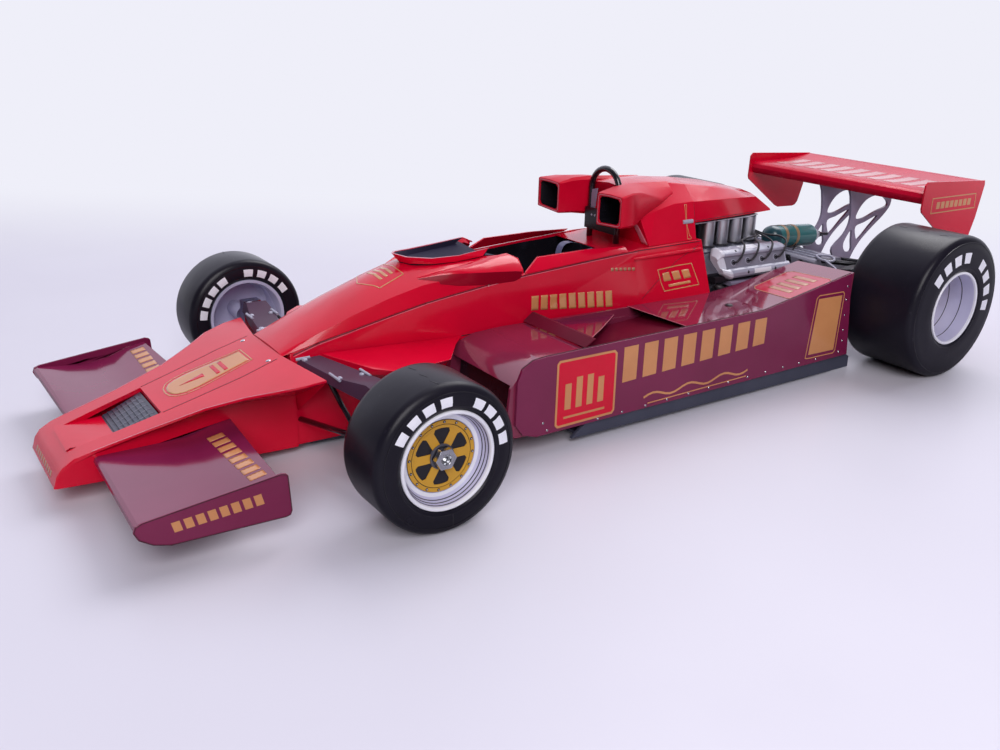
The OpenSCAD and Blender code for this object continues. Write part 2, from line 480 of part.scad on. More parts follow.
// Rim: thin barrel with lips, recessed disc and hub with a true bore;
// built with its outer face towards +Y and its middle at the origin
module rim(ri, w, disc, hubin) color([0.80, 0.79, 0.86]) difference() {
  rotate([-90, 0, 0]) translate([0, 0, -w/2]) union() {
    difference() {
      rotate_extrude($fn = 96) polygon([
        [ri-1.6, 0.4], [ri-0.05, 0.4], [ri-0.05, 2.0], [ri-0.7, 2.6], [ri-0.7, w-2.6],
        [ri-0.05, w-2.0], [ri-0.05, w-0.4], [ri-0.9, w-0.4], [ri-1.7, w-2.8], [ri-1.7, 2.0]]);
    }
    translate([0, 0, disc]) cylinder(h = 1.2, r = ri-1.2, $fn = 64);
    translate([0, 0, hubin]) cylinder(h = disc+1.6-hubin, r = 3.0, $fn = 48);
  }
  rotate([-90, 0, 0]) cylinder(h = 2*w, r = axle_r+axle_gap, center = true, $fn = 48);
}
FRI = 14.0; RRI = 14.3;
module front_tyre_left() translate([FX, front_track_half, FZ]) tyre(front_tyre_r, front_tyre_w, FRI);
module front_tyre_right() translate([FX, -front_track_half, FZ]) tyre(front_tyre_r, front_tyre_w, FRI);
module rear_tyre_left() translate([RX, rear_track_half, RZ]) tyre(rear_tyre_r, rear_tyre_w, RRI);
module rear_tyre_right() translate([RX, -rear_track_half, RZ]) tyre(rear_tyre_r, rear_tyre_w, RRI);
module front_rim_left() translate([FX, front_track_half, FZ]) rim(FRI, front_tyre_w, 14.4, 4.6);
module front_rim_right() mirror([0, 1, 0]) front_rim_left();
module rear_rim_left() translate([RX, rear_track_half, RZ]) rim(RRI, rear_tyre_w, 14.4, 5.2);
module rear_rim_right() mirror([0, 1, 0]) rear_rim_left();
// Hexagon nuts locked on the ends of the stub axles
module nut(x, y, z) translate([x, y, z]) rotate([-90, 0, 0]) difference() {
  cylinder(h = 2.4, r = nut_af/2/cos(30), $fn = 6);
  translate([0, 0, -1]) cylinder(h = 5, r = axle_r, $fn = 48);
}
module wheel_nuts() color(STEEL) both() {
  nut(FX, front_track_half-front_tyre_w/2+16.4, FZ);
  nut(RX, rear_track_half-rear_tyre_w/2+16.4, RZ);
}

nose_cone();
nose_grille();
front_wings();
front_endplates();
monocoque();
cockpit_cover();
windscreen();
cockpit_sides();
seat();
steering_wheel();
dashboard();
roll_hoop();
hoop_panel();
engine_cover();
rear_cowl();
air_intakes();
engine_block();
cam_covers();
intake_trumpets();
gearbox();
air_bottle();
exhausts();
sidepod_left();
sidepod_right();
side_plates();
skirts();
radiator_flaps();
floor_pan();
front_rocker_arms();
suspension_fairings();
front_wishbones();
front_uprights();
rear_uprights();
rear_links();
driveshafts();
rear_wing();
rear_endplates();
rear_wing_posts();
front_tyre_left();
front_tyre_right();
rear_tyre_left();
rear_tyre_right();
front_rim_left();
front_rim_right();
rear_rim_left();
rear_rim_right();
wheel_nuts();
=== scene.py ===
"""Looks for the open wheel racing car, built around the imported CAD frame. Metres; +X nose, +Y left, +Z up."""
import bpy
import bmesh
import json
import math
import random
from mathutils import Vector, Matrix
from mathutils.bvhtree import BVHTree
from mathutils.geometry import tessellate_polygon


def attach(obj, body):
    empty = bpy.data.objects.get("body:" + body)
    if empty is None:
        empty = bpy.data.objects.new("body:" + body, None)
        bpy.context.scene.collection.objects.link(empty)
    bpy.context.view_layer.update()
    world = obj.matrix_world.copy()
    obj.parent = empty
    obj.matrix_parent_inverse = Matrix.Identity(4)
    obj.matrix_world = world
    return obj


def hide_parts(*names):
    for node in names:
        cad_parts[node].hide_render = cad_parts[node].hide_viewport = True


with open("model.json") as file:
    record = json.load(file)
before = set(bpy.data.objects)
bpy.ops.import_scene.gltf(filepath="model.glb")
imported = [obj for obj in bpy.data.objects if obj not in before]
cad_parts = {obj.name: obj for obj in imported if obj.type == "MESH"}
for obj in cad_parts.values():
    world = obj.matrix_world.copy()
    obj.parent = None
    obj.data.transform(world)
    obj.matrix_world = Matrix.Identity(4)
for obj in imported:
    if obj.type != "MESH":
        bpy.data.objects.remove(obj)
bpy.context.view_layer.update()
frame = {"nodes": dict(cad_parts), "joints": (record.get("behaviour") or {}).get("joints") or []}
NODES = frame["nodes"]
MM = 0.001
SC = bpy.context.scene
random.seed(7)

# The wheels' centres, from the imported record
AX = {j["child"]: Vector(j["pos_m"]) for j in frame["joints"]}
FL, FR = AX["front_left_wheel"], AX["front_right_wheel"]
RL, RR = AX["rear_left_wheel"], AX["rear_right_wheel"]

# ------------------------------------------------------------------ materials


class Nodes:
    """Small helper around a material's node tree."""

    def __init__(self, name):
        self.mat = bpy.data.materials.new(name)
        self.mat.use_nodes = True
        self.t = self.mat.node_tree
        self.bsdf = self.t.nodes["Principled BSDF"]
        self.tc = self.t.nodes.new("ShaderNodeTexCoord")

    def new(self, kind, **kw):
        n = self.t.nodes.new(kind)
        for k, v in kw.items():
            setattr(n, k, v)
        return n

    def link(self, a, b):
        self.t.links.new(a, b)

    def noise(self, scale, detail=2.0, rough=0.5, stretch=None, offset=(0, 0, 0)):
        n = self.new("ShaderNodeTexNoise")
        n.inputs["Scale"].default_value = scale
        n.inputs["Detail"].default_value = detail
        n.inputs["Roughness"].default_value = rough
        m = self.new("ShaderNodeMapping")
        if stretch:
            m.inputs["Scale"].default_value = stretch
        m.inputs["Location"].default_value = offset
        self.link(self.tc.outputs["Object"], m.inputs["Vector"])
        self.link(m.outputs["Vector"], n.inputs["Vector"])
        return n.outputs["Fac"]

    def ramp(self, fac, stops):
        r = self.new("ShaderNodeValToRGB")
        e = r.color_ramp.elements
        while len(e) < len(stops):
            e.new(0.5)
        for i, (p, c) in enumerate(stops):
            e[i].position = p
            e[i].color = (*c, 1) if len(c) == 3 else c
        self.link(fac, r.inputs["Fac"])
        return r.outputs["Color"]

    def rng(self, fac, a, b, lo, hi):
        r = self.new("ShaderNodeMapRange")
        for i, v in zip(("From Min", "From Max", "To Min", "To Max"), (a, b, lo, hi)):
            r.inputs[i].default_value = v
        self.link(fac, r.inputs["Value"])
        return r.outputs["Result"]

    def mix(self, fac, a, b, mode="MIX"):
        m = self.new("ShaderNodeMix", data_type="RGBA", blend_type=mode)
        if isinstance(fac, (int, float)):
            m.inputs[0].default_value = fac
        else:
            self.link(fac, m.inputs[0])
        for s, v in ((6, a), (7, b)):
            if isinstance(v, tuple):
                m.inputs[s].default_value = (*v, 1) if len(v) == 3 else v
            else:
                self.link(v, m.inputs[s])
        return m.outputs[2]

    def bump(self, height, dist, strength=1.0, prev=None):
        b = self.new("ShaderNodeBump")
        b.inputs["Strength"].default_value = strength
        b.inputs["Distance"].default_value = dist
        self.link(height, b.inputs["Height"])
        if prev is not None:
            self.link(prev, b.inputs["Normal"])
        return b.outputs["Normal"]

    def color(self, c):
        self.link(c, self.bsdf.inputs["Base Color"])

    def set(self, **kw):
        for k, v in kw.items():
            self.bsdf.inputs[k.replace("_", " ")].default_value = v


def srgb(r, g, b):
    f = lambda v: (v / 255 / 12.92) if v / 255 <= 0.04045 else ((v / 255 + 0.055) / 1.055) ** 2.4
    return (f(r), f(g), f(b))


def card(name, base, dark, rough=(0.10, 0.20), coat=0.4, spec=0.5, grain=0.03, wave=0.35, tint=None):
    """Printed and varnished card: faint print mottle, paper fibre, a gloss that wanders and soft waves in the sheet."""
    n = Nodes(name)
    mott = n.noise(48, 4, 0.55)
    fine = n.noise(2600, 2, 0.6)
    c = n.mix(n.rng(mott, 0.35, 0.7, 0.0, 1.0), base, dark)
    c = n.mix(n.rng(fine, 0.35, 0.7, 0.0, grain * 2), c, tuple(min(1, v * 1.35 + 0.01) for v in base))
    # scuffs: a few faint pale specks where the print has rubbed
    sp = n.noise(620, 3, 0.72, offset=(4, 8, 1))
    c = n.mix(n.rng(sp, 0.70, 0.78, 0.0, 0.35), c, tint or tuple(min(1, v * 1.3 + 0.06) for v in base))
    n.color(c)
    n.link(n.rng(n.noise(38, 3, 0.5, offset=(3, 1, 2)), 0.3, 0.7, *rough), n.bsdf.inputs["Roughness"])
    fib = n.noise(1500, 3, 0.6)
    nm = n.bump(n.noise(24, 2, 0.5, offset=(9, 2, 5)), 0.00022, wave)
    nm = n.bump(fib, 0.000004, 0.4, nm)
    n.link(nm, n.bsdf.inputs["Normal"])
    n.set(Coat_Weight=coat, Coat_Roughness=0.05, Specular_IOR_Level=spec)
    return n.mat


M = {}
M["red"] = card("red_card", (0.66, 0.0014, 0.027), (0.58, 0.0010, 0.022), (0.12, 0.24), 0.22, 0.36)
M["boxred"] = card("box_red_card", (0.64, 0.0012, 0.026), (0.56, 0.0010, 0.021), (0.26, 0.38), 0.05, 0.18)
M["shade"] = card("shade_red_card", (0.30, 0.0008, 0.016), (0.25, 0.0006, 0.013), (0.26, 0.38), 0.03, 0.10)
# blue-black card for the linings under the windscreen and over the dash: painted shade for the dark hole behind the
# screen
M["well"] = card("screen_hole_shade_card", (0.026, 0.022, 0.048), (0.019, 0.016, 0.037), (0.5, 0.62), 0.0, 0.10)
M["wingred"] = card("wing_red_card", (0.60, 0.0014, 0.030), (0.52, 0.0010, 0.024), (0.22, 0.34), 0.06, 0.16)
M["flap"] = card("flap_card", (0.135, 0.004, 0.022), (0.105, 0.003, 0.017), (0.34, 0.46), 0.0, 0.12)
M["maroon"] = card("maroon_card", (0.190, 0.013, 0.062), (0.165, 0.010, 0.052), (0.10, 0.20), 0.36, 0.44)
M["podred"] = card("deck_card", (0.215, 0.022, 0.060), (0.182, 0.018, 0.051), (0.06, 0.14), 0.6)
M["darkred"] = card("dark_red_card", (0.10, 0.003, 0.016), (0.075, 0.002, 0.012), (0.12, 0.22), 0.3)
M["slate"] = card("slate_card", (0.055, 0.060, 0.092), (0.042, 0.046, 0.074), (0.26, 0.42), 0.1)
M["black"] = card("black_card", (0.008, 0.007, 0.011), (0.005, 0.0045, 0.007), (0.20, 0.36), 0.15)
M["lilac"] = card("lilac_card", (0.29, 0.25, 0.36), (0.22, 0.19, 0.28), (0.26, 0.4), 0.15)
M["arm"] = card("arm_card", (0.072, 0.030, 0.062), (0.054, 0.022, 0.046), (0.34, 0.46), 0.0, 0.22)
# lighter slate-blue for the harness: partly the belts' own dark blue, partly a painted sheen
M["belt"] = card("belt_and_sheen_card", (0.20, 0.21, 0.36), (0.14, 0.15, 0.27), (0.26, 0.4), 0.2)
M["silver"] = card("silver_card", (0.40, 0.40, 0.50), (0.27, 0.27, 0.35), (0.20, 0.34), 0.3)
M["bright"] = card("bright_card", (0.66, 0.66, 0.74), (0.53, 0.53, 0.62), (0.20, 0.34), 0.3)
M["grey"] = card("grey_card", (0.105, 0.105, 0.135), (0.055, 0.055, 0.075), (0.26, 0.42), 0.1)
M["midgrey"] = card("mid_grey_card", (0.23, 0.22, 0.28), (0.16, 0.155, 0.205), (0.26, 0.42), 0.1)
M["teal"] = card("teal_card", (0.025, 0.165, 0.165), (0.016, 0.115, 0.120), (0.22, 0.34), 0.3)
M["tealdark"] = card("dark_teal_card", (0.012, 0.060, 0.075), (0.008, 0.042, 0.055), (0.22, 0.34), 0.3)
M["exhaust"] = card("exhaust_card", (0.075, 0.06, 0.07), (0.04, 0.032, 0.038), (0.35, 0.5), 0.0)
M["band"] = card("band_print", (0.30, 0.20, 0.11), (0.24, 0.155, 0.085), (0.24, 0.36), 0.2)
M["tailprint"] = card("tail_print", (0.66, 0.28, 0.27), (0.56, 0.22, 0.22), (0.2, 0.3), 0.2, 0.3)
M["label"] = card("label_print", (0.52, 0.010, 0.045), (0.45, 0.008, 0.038), (0.10, 0.20), 0.5)
M["gold"] = card("gold_print", (0.62, 0.27, 0.105), (0.54, 0.22, 0.085), (0.14, 0.24), 0.35)
M["tan"] = card("tan_print", (0.50, 0.22, 0.12), (0.42, 0.17, 0.095), (0.2, 0.3), 0.3)
M["yellow"] = card("yellow_print", (0.62, 0.33, 0.018), (0.52, 0.26, 0.012), (0.24, 0.34), 0.25)
M["white"] = card("white_print", (0.86, 0.86, 0.93), (0.78, 0.78, 0.86), (0.3, 0.42), 0.1)
# pale pink card for cut edges and folds, and also for painted highlights such as the tub's top fold and the cover's
# front edge
M["pale"] = card("pale_edge_and_highlight", (0.62, 0.20, 0.26), (0.52, 0.15, 0.21), (0.2, 0.3), 0.3)
M["line"] = card("dark_line", (0.055, 0.004, 0.014), (0.035, 0.003, 0.010), (0.4, 0.55), 0.0)
M["ink"] = card("black_line", (0.012, 0.010, 0.016), (0.008, 0.007, 0.011), (0.4, 0.55), 0.0)


def metal(name, base, rough, brush=None, dark=0.75):
    n = Nodes(name)
    s = brush or (1, 1, 1)
    f = n.noise(900, 4, 0.65, stretch=s)
    n.color(n.mix(n.rng(f, 0.3, 0.7, 0, 1), base, tuple(v * dark for v in base)))
    n.link(n.rng(n.noise(300, 3, 0.6, stretch=s), 0.3, 0.7, rough * 0.75, rough * 1.3), n.bsdf.inputs["Roughness"])
    n.link(n.bump(f, 0.00001, 0.4), n.bsdf.inputs["Normal"])
    n.set(Metallic=1.0)
    return n.mat


M["steel"] = metal("turned_steel", (0.72, 0.73, 0.76), 0.22)
M["foil"] = metal("silver_foil", (0.74, 0.74, 0.79), 0.34, (1, 1, 0.1))
M["blacksteel"] = metal("black_wire", (0.05, 0.05, 0.055), 0.35)


def tyre_mat():
    n = Nodes("tyre_black")
    f = n.noise(60, 4, 0.6)
    g = n.noise(1800, 3, 0.6)
    c = n.mix(n.rng(f, 0.3, 0.7, 0, 1), (0.0075, 0.0065, 0.012), (0.012, 0.0105, 0.018))
    c = n.mix(n.rng(n.noise(420, 2, 0.7, offset=(5, 5, 5)), 0.68, 0.76, 0.0, 0.25), c, (0.05, 0.045, 0.06))
    n.color(c)
    n.link(n.rng(n.noise(34, 3, 0.5), 0.3, 0.7, 0.27, 0.40), n.bsdf.inputs["Roughness"])
    nm = n.bump(n.noise(70, 2, 0.5), 0.00035, 0.5)
    n.link(n.bump(g, 0.000008, 0.6, nm), n.bsdf.inputs["Normal"])
    n.set(Coat_Weight=0.02, Coat_Roughness=0.2, Specular_IOR_Level=0.22)
    return n.mat


M["tyre"] = tyre_mat()
M["rim"] = card("rim_card", (0.56, 0.55, 0.74), (0.47, 0.46, 0.64), (0.26, 0.4), 0.15)
M["lip"] = card("lip_card", (0.84, 0.84, 0.90), (0.74, 0.74, 0.82), (0.2, 0.32), 0.25)


def glossy_black():
    n = Nodes("gloss_black")
    f = n.noise(120, 3, 0.5)
    n.color(n.mix(n.rng(f, 0.3, 0.7, 0, 1), srgb(16, 14, 20), srgb(26, 24, 32)))
    n.link(n.rng(n.noise(200, 3, 0.5), 0.3, 0.7, 0.14, 0.26), n.bsdf.inputs["Roughness"])
    n.link(n.bump(n.noise(500, 2, 0.5), 0.00003, 0.5), n.bsdf.inputs["Normal"])
    n.set(Coat_Weight=0.6, Coat_Roughness=0.1)
    return n.mat


M["gloss"] = glossy_black()

# --------------------------------------------------------------- mesh helpers


def smooth_by_angle(me, deg):
    me.shade_smooth() if hasattr(me, "shade_smooth") else None
    for p in me.polygons:
        p.use_smooth = True
    bm = bmesh.new()
    bm.from_mesh(me)
    lim = math.radians(deg)
    for e in bm.edges:
        e.smooth = len(e.link_faces) == 2 and e.calc_face_angle(0.0) < lim
    bm.to_mesh(me)
    bm.free()


def make(name, verts, faces, mat, body="root", bevel=0.0, smooth=30, mats=None, fmats=None, scale=MM):
    """A mesh piece from millimetre points."""
    me = bpy.data.meshes.new(name)
    me.from_pydata([tuple(c * scale for c in v) for v in verts], [], faces)
    bm = bmesh.new()
    bm.from_mesh(me)
    bmesh.ops.recalc_face_normals(bm, faces=bm.faces[:])
    bm.to_mesh(me)
    bm.free()
    if fmats:
        for p, i in zip(me.polygons, fmats):
            p.material_index = i
    ob = bpy.data.objects.new(name, me)
    SC.collection.objects.link(ob)
    for m in (mats or [mat]):
        me.materials.append(m if not isinstance(m, str) else M[m])
    if smooth:
        smooth_by_angle(me, smooth)
    if bevel:
        b = ob.modifiers.new("edge", "BEVEL")
        b.width = bevel * MM
        b.segments = 2
        b.limit_method = "ANGLE"
        b.angle_limit = math.radians(32)
        b.harden_normals = False
        b.use_clamp_overlap = True
    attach(ob, body)
    return ob


def loft_data(secs, cap=True, closed_ring=True):
    n, m = len(secs[0]), len(secs)
    v = [p for s in secs for p in s]
    f = []
    rng = range(n) if closed_ring else range(n - 1)
    for i in range(m - 1):
        for j in rng:
            k = (j + 1) % n
            f.append((i * n + j, i * n + k, (i + 1) * n + k, (i + 1) * n + j))
    if cap and closed_ring:
        f.append(tuple(range(n)))
        f.append(tuple((m - 1) * n + j for j in range(n)))
    return v, f


def join_data(parts):
    v, f = [], []
    for a, b in parts:
        o = len(v)
        v += list(a)
        f += [tuple(i + o for i in q) for q in b]
    return v, f


def mirror_data(d):
    return [(x, -y, z) for x, y, z in d[0]], [tuple(reversed(q)) for q in d[1]]


def both_data(parts):
    out = []
    for p in parts:
        out += [p, mirror_data(p)]
    return join_data(out)


def prism(poly, a, b, plane="xz"):
    """A flat plate: polygon in a plane, between two heights of the third axis."""
    def P(u, w, h):
        return {"xz": (u, h, w), "xy": (u, w, h), "yz": (h, u, w)}[plane]
    n = len(poly)
    v = [P(u, w, a) for u, w in poly] + [P(u, w, b) for u, w in poly]
    f = [tuple(range(n)), tuple(range(n, 2 * n))]
    f += [(j, (j + 1) % n, n + (j + 1) % n, n + j) for j in range(n)]
    return v, f


def tube(path, r, n=12, closed=False, radii=None, twist_up=(0, 0, 1)):
    """Round tube along a path."""
    P = [Vector(p) for p in path]
    m = len(P)
    rings = []
    up = Vector(twist_up)
    for i in range(m):
        if closed:
            d = P[(i + 1) % m] - P[i - 1]
        else:
            d = P[min(i + 1, m - 1)] - P[max(i - 1, 0)]
        d.normalize()
        s = up.cross(d)
        if s.length < 1e-4:
            s = Vector((1, 0, 0)).cross(d)
        s.normalize()
        u = d.cross(s)
        rr = radii[i] if radii else r
        rings.append([tuple(P[i] + rr * (math.cos(2 * math.pi * k / n) * s + math.sin(2 * math.pi * k / n) * u)) for k in range(n)])
    if closed:
        v, f = loft_data(rings, cap=False)
        o = (m - 1) * n
        f += [(o + j, o + (j + 1) % n, (j + 1) % n, j) for j in range(n)]
        return v, f
    return loft_data(rings)


def turned(profile, centre, axis="y", n=48, sign=1, a0=0.0, a1=360.0, close=True):
    """Solid turned about an axis through centre: profile of (radius, height) points, closed loop."""
    full = abs(a1 - a0) >= 359.9
    m = n if full else n + 1
    v, f = [], []
    c = Vector(centre)
    for i in range(m):
        a = math.radians(a0 + (a1 - a0) * i / n)
        for r, h in profile:
            if axis == "y":
                v.append((c.x + r * math.cos(a), c.y + sign * h, c.z + r * math.sin(a)))
            elif axis == "x":
                v.append((c.x + sign * h, c.y + r * math.cos(a), c.z + r * math.sin(a)))
            else:
                v.append((c.x + r * math.cos(a), c.y + r * math.sin(a), c.z + sign * h))
    k = len(profile)
    for i in range(n):
        o, q = i * k, ((i + 1) % m) * k
        for j in range(k if close else k - 1):
            l = (j + 1) % k
            f.append((o + j, o + l, q + l, q + j))
    if not full and close:
        f.append(tuple(range(k)))
        f.append(tuple((m - 1) * k + j for j in range(k)))
    return v, f


def decal(name, polys, plane_pt, u, w, mat, body="root", lift=0.06, thick=0.05):
    """Thin printed shapes lying on a plane: polygons in (u, w) millimetres from plane_pt."""
    o, U, W = Vector(plane_pt), Vector(u).normalized(), Vector(w).normalized()
    N = U.cross(W).normalized()
    parts = []
    for poly in polys:
        n = len(poly)
        lo = [tuple(o + U * a + W * b + N * (lift - thick)) for a, b in poly]
        hi = [tuple(o + U * a + W * b + N * lift) for a, b in poly]
        parts.append((lo + hi, [tuple(reversed(range(n))), tuple(range(n, 2 * n))] + [(j, (j + 1) % n, n + (j + 1) % n, n + j) for j in range(n)]))
    v, f = join_data(parts)
    return make(name, v, f, mat, body, smooth=0)


def cad(node, mat, bevel=0.12, smooth=28, flat=False):
    """A CAD node kept as it is, with a better material, softened edges and smooth shading."""
    ob = NODES[node]
    ob.data.materials.clear()
    ob.data.materials.append(M[mat])
    # the imported mesh has split vertices, so a weld modifier joins them before the bevel
    wd = ob.modifiers.new("weld", "WELD")
    wd.merge_threshold = 0.000002
    if bevel:
        b = ob.modifiers.new("edge", "BEVEL")
        b.width = bevel * MM
        b.segments = 2
        b.limit_method = "ANGLE"
        b.angle_limit = math.radians(30)
        b.use_clamp_overlap = True
    if bevel or flat:
        wn = ob.modifiers.new("flats", "WEIGHTED_NORMAL")
        wn.weight = 60
        wn.keep_sharp = True
    for p in ob.data.polygons:
        p.use_smooth = True
    return ob


# -------------------------------------------------------- which CAD nodes stay
for node, mat, bev in [
        ("nose_cone", "red", 0.15), ("nose_grille", "slate", 0.05), ("front_wings", "maroon", 0.08),
        ("front_endplates", "maroon", 0.12), ("monocoque", "red", 0.15), ("cockpit_cover", "red", 0.12),
        ("windscreen", "red", 0.06), ("cockpit_sides", "red", 0.08), ("seat", "black", 0.2),
        ("steering_wheel", "black", 0.1), ("dashboard", "black", 0.1), ("roll_hoop", "gloss", 0.0),
        ("hoop_panel", "black", 0.1), ("engine_cover", "red", 0.15), ("rear_cowl", "red", 0.15),
        ("air_intakes", "red", 0.12), ("engine_block", "grey", 0.3), ("gearbox", "grey", 0.4),
        ("air_bottle", "teal", 0.0), ("exhausts", "exhaust", 0.0), ("sidepod_left", "podred", 0.15),
        ("sidepod_right", "podred", 0.15), ("side_plates", "maroon", 0.12), ("skirts", "slate", 0.1),
        ("radiator_flaps", "flap", 0.08), ("floor_pan", "slate", 0.1), ("front_rocker_arms", "arm", 0.15),
        ("suspension_fairings", "red", 0.15), ("front_wishbones", "gloss", 0.0), ("front_uprights", "steel", 0.15),
        ("rear_uprights", "steel", 0.15), ("rear_links", "blacksteel", 0.0), ("driveshafts", "blacksteel", 0.0),
        ("rear_wing", "wingred", 0.05), ("rear_endplates", "red", 0.12), ("front_tyre_left", "tyre", 0),
        ("front_tyre_right", "tyre", 0), ("rear_tyre_left", "tyre", 0), ("rear_tyre_right", "tyre", 0),
        ("wheel_nuts", "steel", 0.15)]:
    cad(node, mat, bev)

# ------------------------------------------------- printed shapes on surfaces
_TREES = {}


def tree(*names):
    """Search tree over CAD nodes, in millimetres."""
    if names not in _TREES:
        v, f = [], []
        for nd in names:
            me = NODES[nd].data
            o = len(v)
            v += [p.co * 1000.0 for p in me.vertices]
            f += [tuple(i + o for i in p.vertices) for p in me.polygons]
        _TREES[names] = BVHTree.FromPolygons(v, f)
    return _TREES[names]


def wrap(name, polys, on, mat, o=(0, 0, 0), u=(1, 0, 0), w=(0, 1, 0), body="root", lift=0.07, step=1.3, far=80.0):
    """Thin printed shapes cast onto CAD surfaces: polygons in (u, w) millimetres, thrown along the plane's back."""
    O, U, W = Vector(o), Vector(u).normalized(), Vector(w).normalized()
    C = -U.cross(W).normalized()
    t = tree(*((on,) if isinstance(on, str) else on))
    bm = bmesh.new()
    for poly in polys:
        vs = [bm.verts.new(O + U * a + W * b) for a, b in poly]
        bm.faces.new(vs)
    bmesh.ops.triangulate(bm, faces=bm.faces[:])
    for _ in range(7):
        big = [e for e in bm.edges if e.calc_length() > step]
        if not big:
            break
        bmesh.ops.subdivide_edges(bm, edges=big, cuts=1)
        bmesh.ops.triangulate(bm, faces=[f for f in bm.faces if len(f.verts) > 3])
    dead = []
    for v in bm.verts:
        hit, nn, _i, _d = t.ray_cast(v.co - C * far, C)
        if hit is None:
            dead.append(v)
            continue
        if nn.dot(C) > 0:
            nn = -nn
        v.co = (hit + nn * lift) * MM
    bmesh.ops.delete(bm, geom=dead, context="VERTS")
    for f in bm.faces:
        f.normal_update()
        if f.normal.dot(C) > 0:
            f.normal_flip()
    me = bpy.data.meshes.new(name)
    bm.to_mesh(me)
    bm.free()
    ob = bpy.data.objects.new(name, me)
    SC.collection.objects.link(ob)
    me.materials.append(M[mat])
    for p in me.polygons:
        p.use_smooth = True
    so = ob.modifiers.new("sheet", "SOLIDIFY")
    so.thickness = 0.05 * MM
    so.offset = -1.0
    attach(ob, body)
    return ob


def rect(x0, y0, x1, y1):
    return [(x0, y0), (x1, y0), (x1, y1), (x0, y1)]


def outline(poly, w):
    """Four-sided strips that run along the inside of a polygon's border."""
    P = [Vector((a, b)) for a, b in poly]
    n = len(P)
    area = sum(P[i].x * P[(i + 1) % n].y - P[(i + 1) % n].x * P[i].y for i in range(n))
    sg = 1 if area > 0 else -1
    inn = []
    for i in range(n):
        d1 = (P[i] - P[i - 1]).normalized()
        d2 = (P[(i + 1) % n] - P[i]).normalized()
        n1, n2 = Vector((-d1.y, d1.x)) * sg, Vector((-d2.y, d2.x)) * sg
        inn.append(P[i] + (n1 + n2) / max(0.35, 1 + n1.dot(n2)) * w)
    return [[tuple(P[i]), tuple(P[(i + 1) % n]), tuple(inn[(i + 1) % n]), tuple(inn[i])] for i in range(n)]


def stroke(pts, w):
    """Strips of width w along an open line."""
    P = [Vector(p) for p in pts]
    n = len(P)
    L, R = [], []
    for i in range(n):
        d = (P[min(i + 1, n - 1)] - P[max(i - 1, 0)]).normalized()
        q = Vector((-d.y, d.x)) * w / 2
        L.append(P[i] + q)
        R.append(P[i] - q)
    return [[tuple(R[i]), tuple(R[i + 1]), tuple(L[i + 1]), tuple(L[i])] for i in range(n - 1)]


def blocks(p0, p1, h0, h1, n, gap=0.28, slant=0.0, skip=()):
    """A plain row of n upright blocks between p0 and p1; heights run from h0 to h1."""
    out = []
    for i in range(n):
        if i in skip:
            continue
        a, b = i / n, (i + 1 - gap) / n
        q = []
        for t, top in ((a, 0), (b, 0), (b, 1), (a, 1)):
            x, y = p0[0] + (p1[0] - p0[0]) * t, p0[1] + (p1[1] - p0[1]) * t
            h = h0 + (h1 - h0) * t
            q.append((x + (slant * h if top else 0), y + (h if top else 0)))
        out.append(q)
    return out


def oval(cx, cy, rx, ry, n=24, a0=0, a1=360):
    return [(cx + rx * math.cos(math.radians(a0 + (a1 - a0) * i / n)), cy + ry * math.sin(math.radians(a0 + (a1 - a0) * i / n)))
            for i in range(n if a1 - a0 >= 360 else n + 1)]


def round_rect(x0, y0, x1, y1, r, k=5):
    out = []
    for cx, cy, a in ((x1 - r, y1 - r, 0), (x0 + r, y1 - r, 90), (x0 + r, y0 + r, 180), (x1 - r, y0 + r, 270)):
        for i in range(k + 1):
            t = math.radians(a + 90 * i / k)
            out.append((cx + r * math.cos(t), cy + r * math.sin(t)))
    return out


def side_print(name, polys, y, mat, lift=0.06, thick=0.05):
    """The same flat print on both of a pair of upright plates: polygons in (X, Z)."""
    for tag, sg in (("left", 1), ("right", -1)):
        decal(name + "_" + tag, [[(-sg * x, z) for x, z in p] for p in polys], (0, sg * y, 0), (-sg, 0, 0), (0, 0, 1), mat, lift=lift, thick=thick)


def side_wrap(name, polys, on, mat, lift=0.07, step=1.3):
    """The same print cast sideways onto both flanks of the car: polygons in (X, Z)."""
    for tag, sg in (("left", 1), ("right", -1)):
        nd = on.replace("_left", "_" + tag)
        wrap(name + "_" + tag, [[(-sg * x, z) for x, z in p] for p in polys], nd, mat, u=(-sg, 0, 0), w=(0, 0, 1), lift=lift, step=step)


def top_wrap(name, polys, on, mat, lift=0.07, step=1.3, pair=False):
    """Print cast down onto the top: polygons in (X, Y); pair repeats it on the other half."""
    for tag, sg in ((("left", 1), ("right", -1)) if pair else (("", 1),)):
        nm = name + ("_" + tag if tag else "")
        nd = on.replace("_left", "_" + tag) if tag else on
        wrap(nm, [[(x, sg * y) for x, y in (p if sg > 0 else list(reversed(p)))] for p in polys], nd, mat, lift=lift, step=step)


def dome(c, r, h, axis, n=12):
    """Low round rivet head on a surface: centre, radius, height, outward axis."""
    A = Vector(axis).normalized()
    s = A.cross(Vector((0, 0, 1)) if abs(A.z) < 0.9 else Vector((1, 0, 0))).normalized()
    t = A.cross(s)
    rings = []
    for rr, hh in ((1.0, -0.3), (1.0, 0.15), (0.82, 0.62), (0.45, 0.93), (0.12, 1.0)):
        rings.append([tuple(Vector(c) + A * (h * hh) + (s * math.cos(2 * math.pi * k / n) + t * math.sin(2 * math.pi * k / n)) * (r * rr)) for k in range(n)])
    return loft_data(rings)


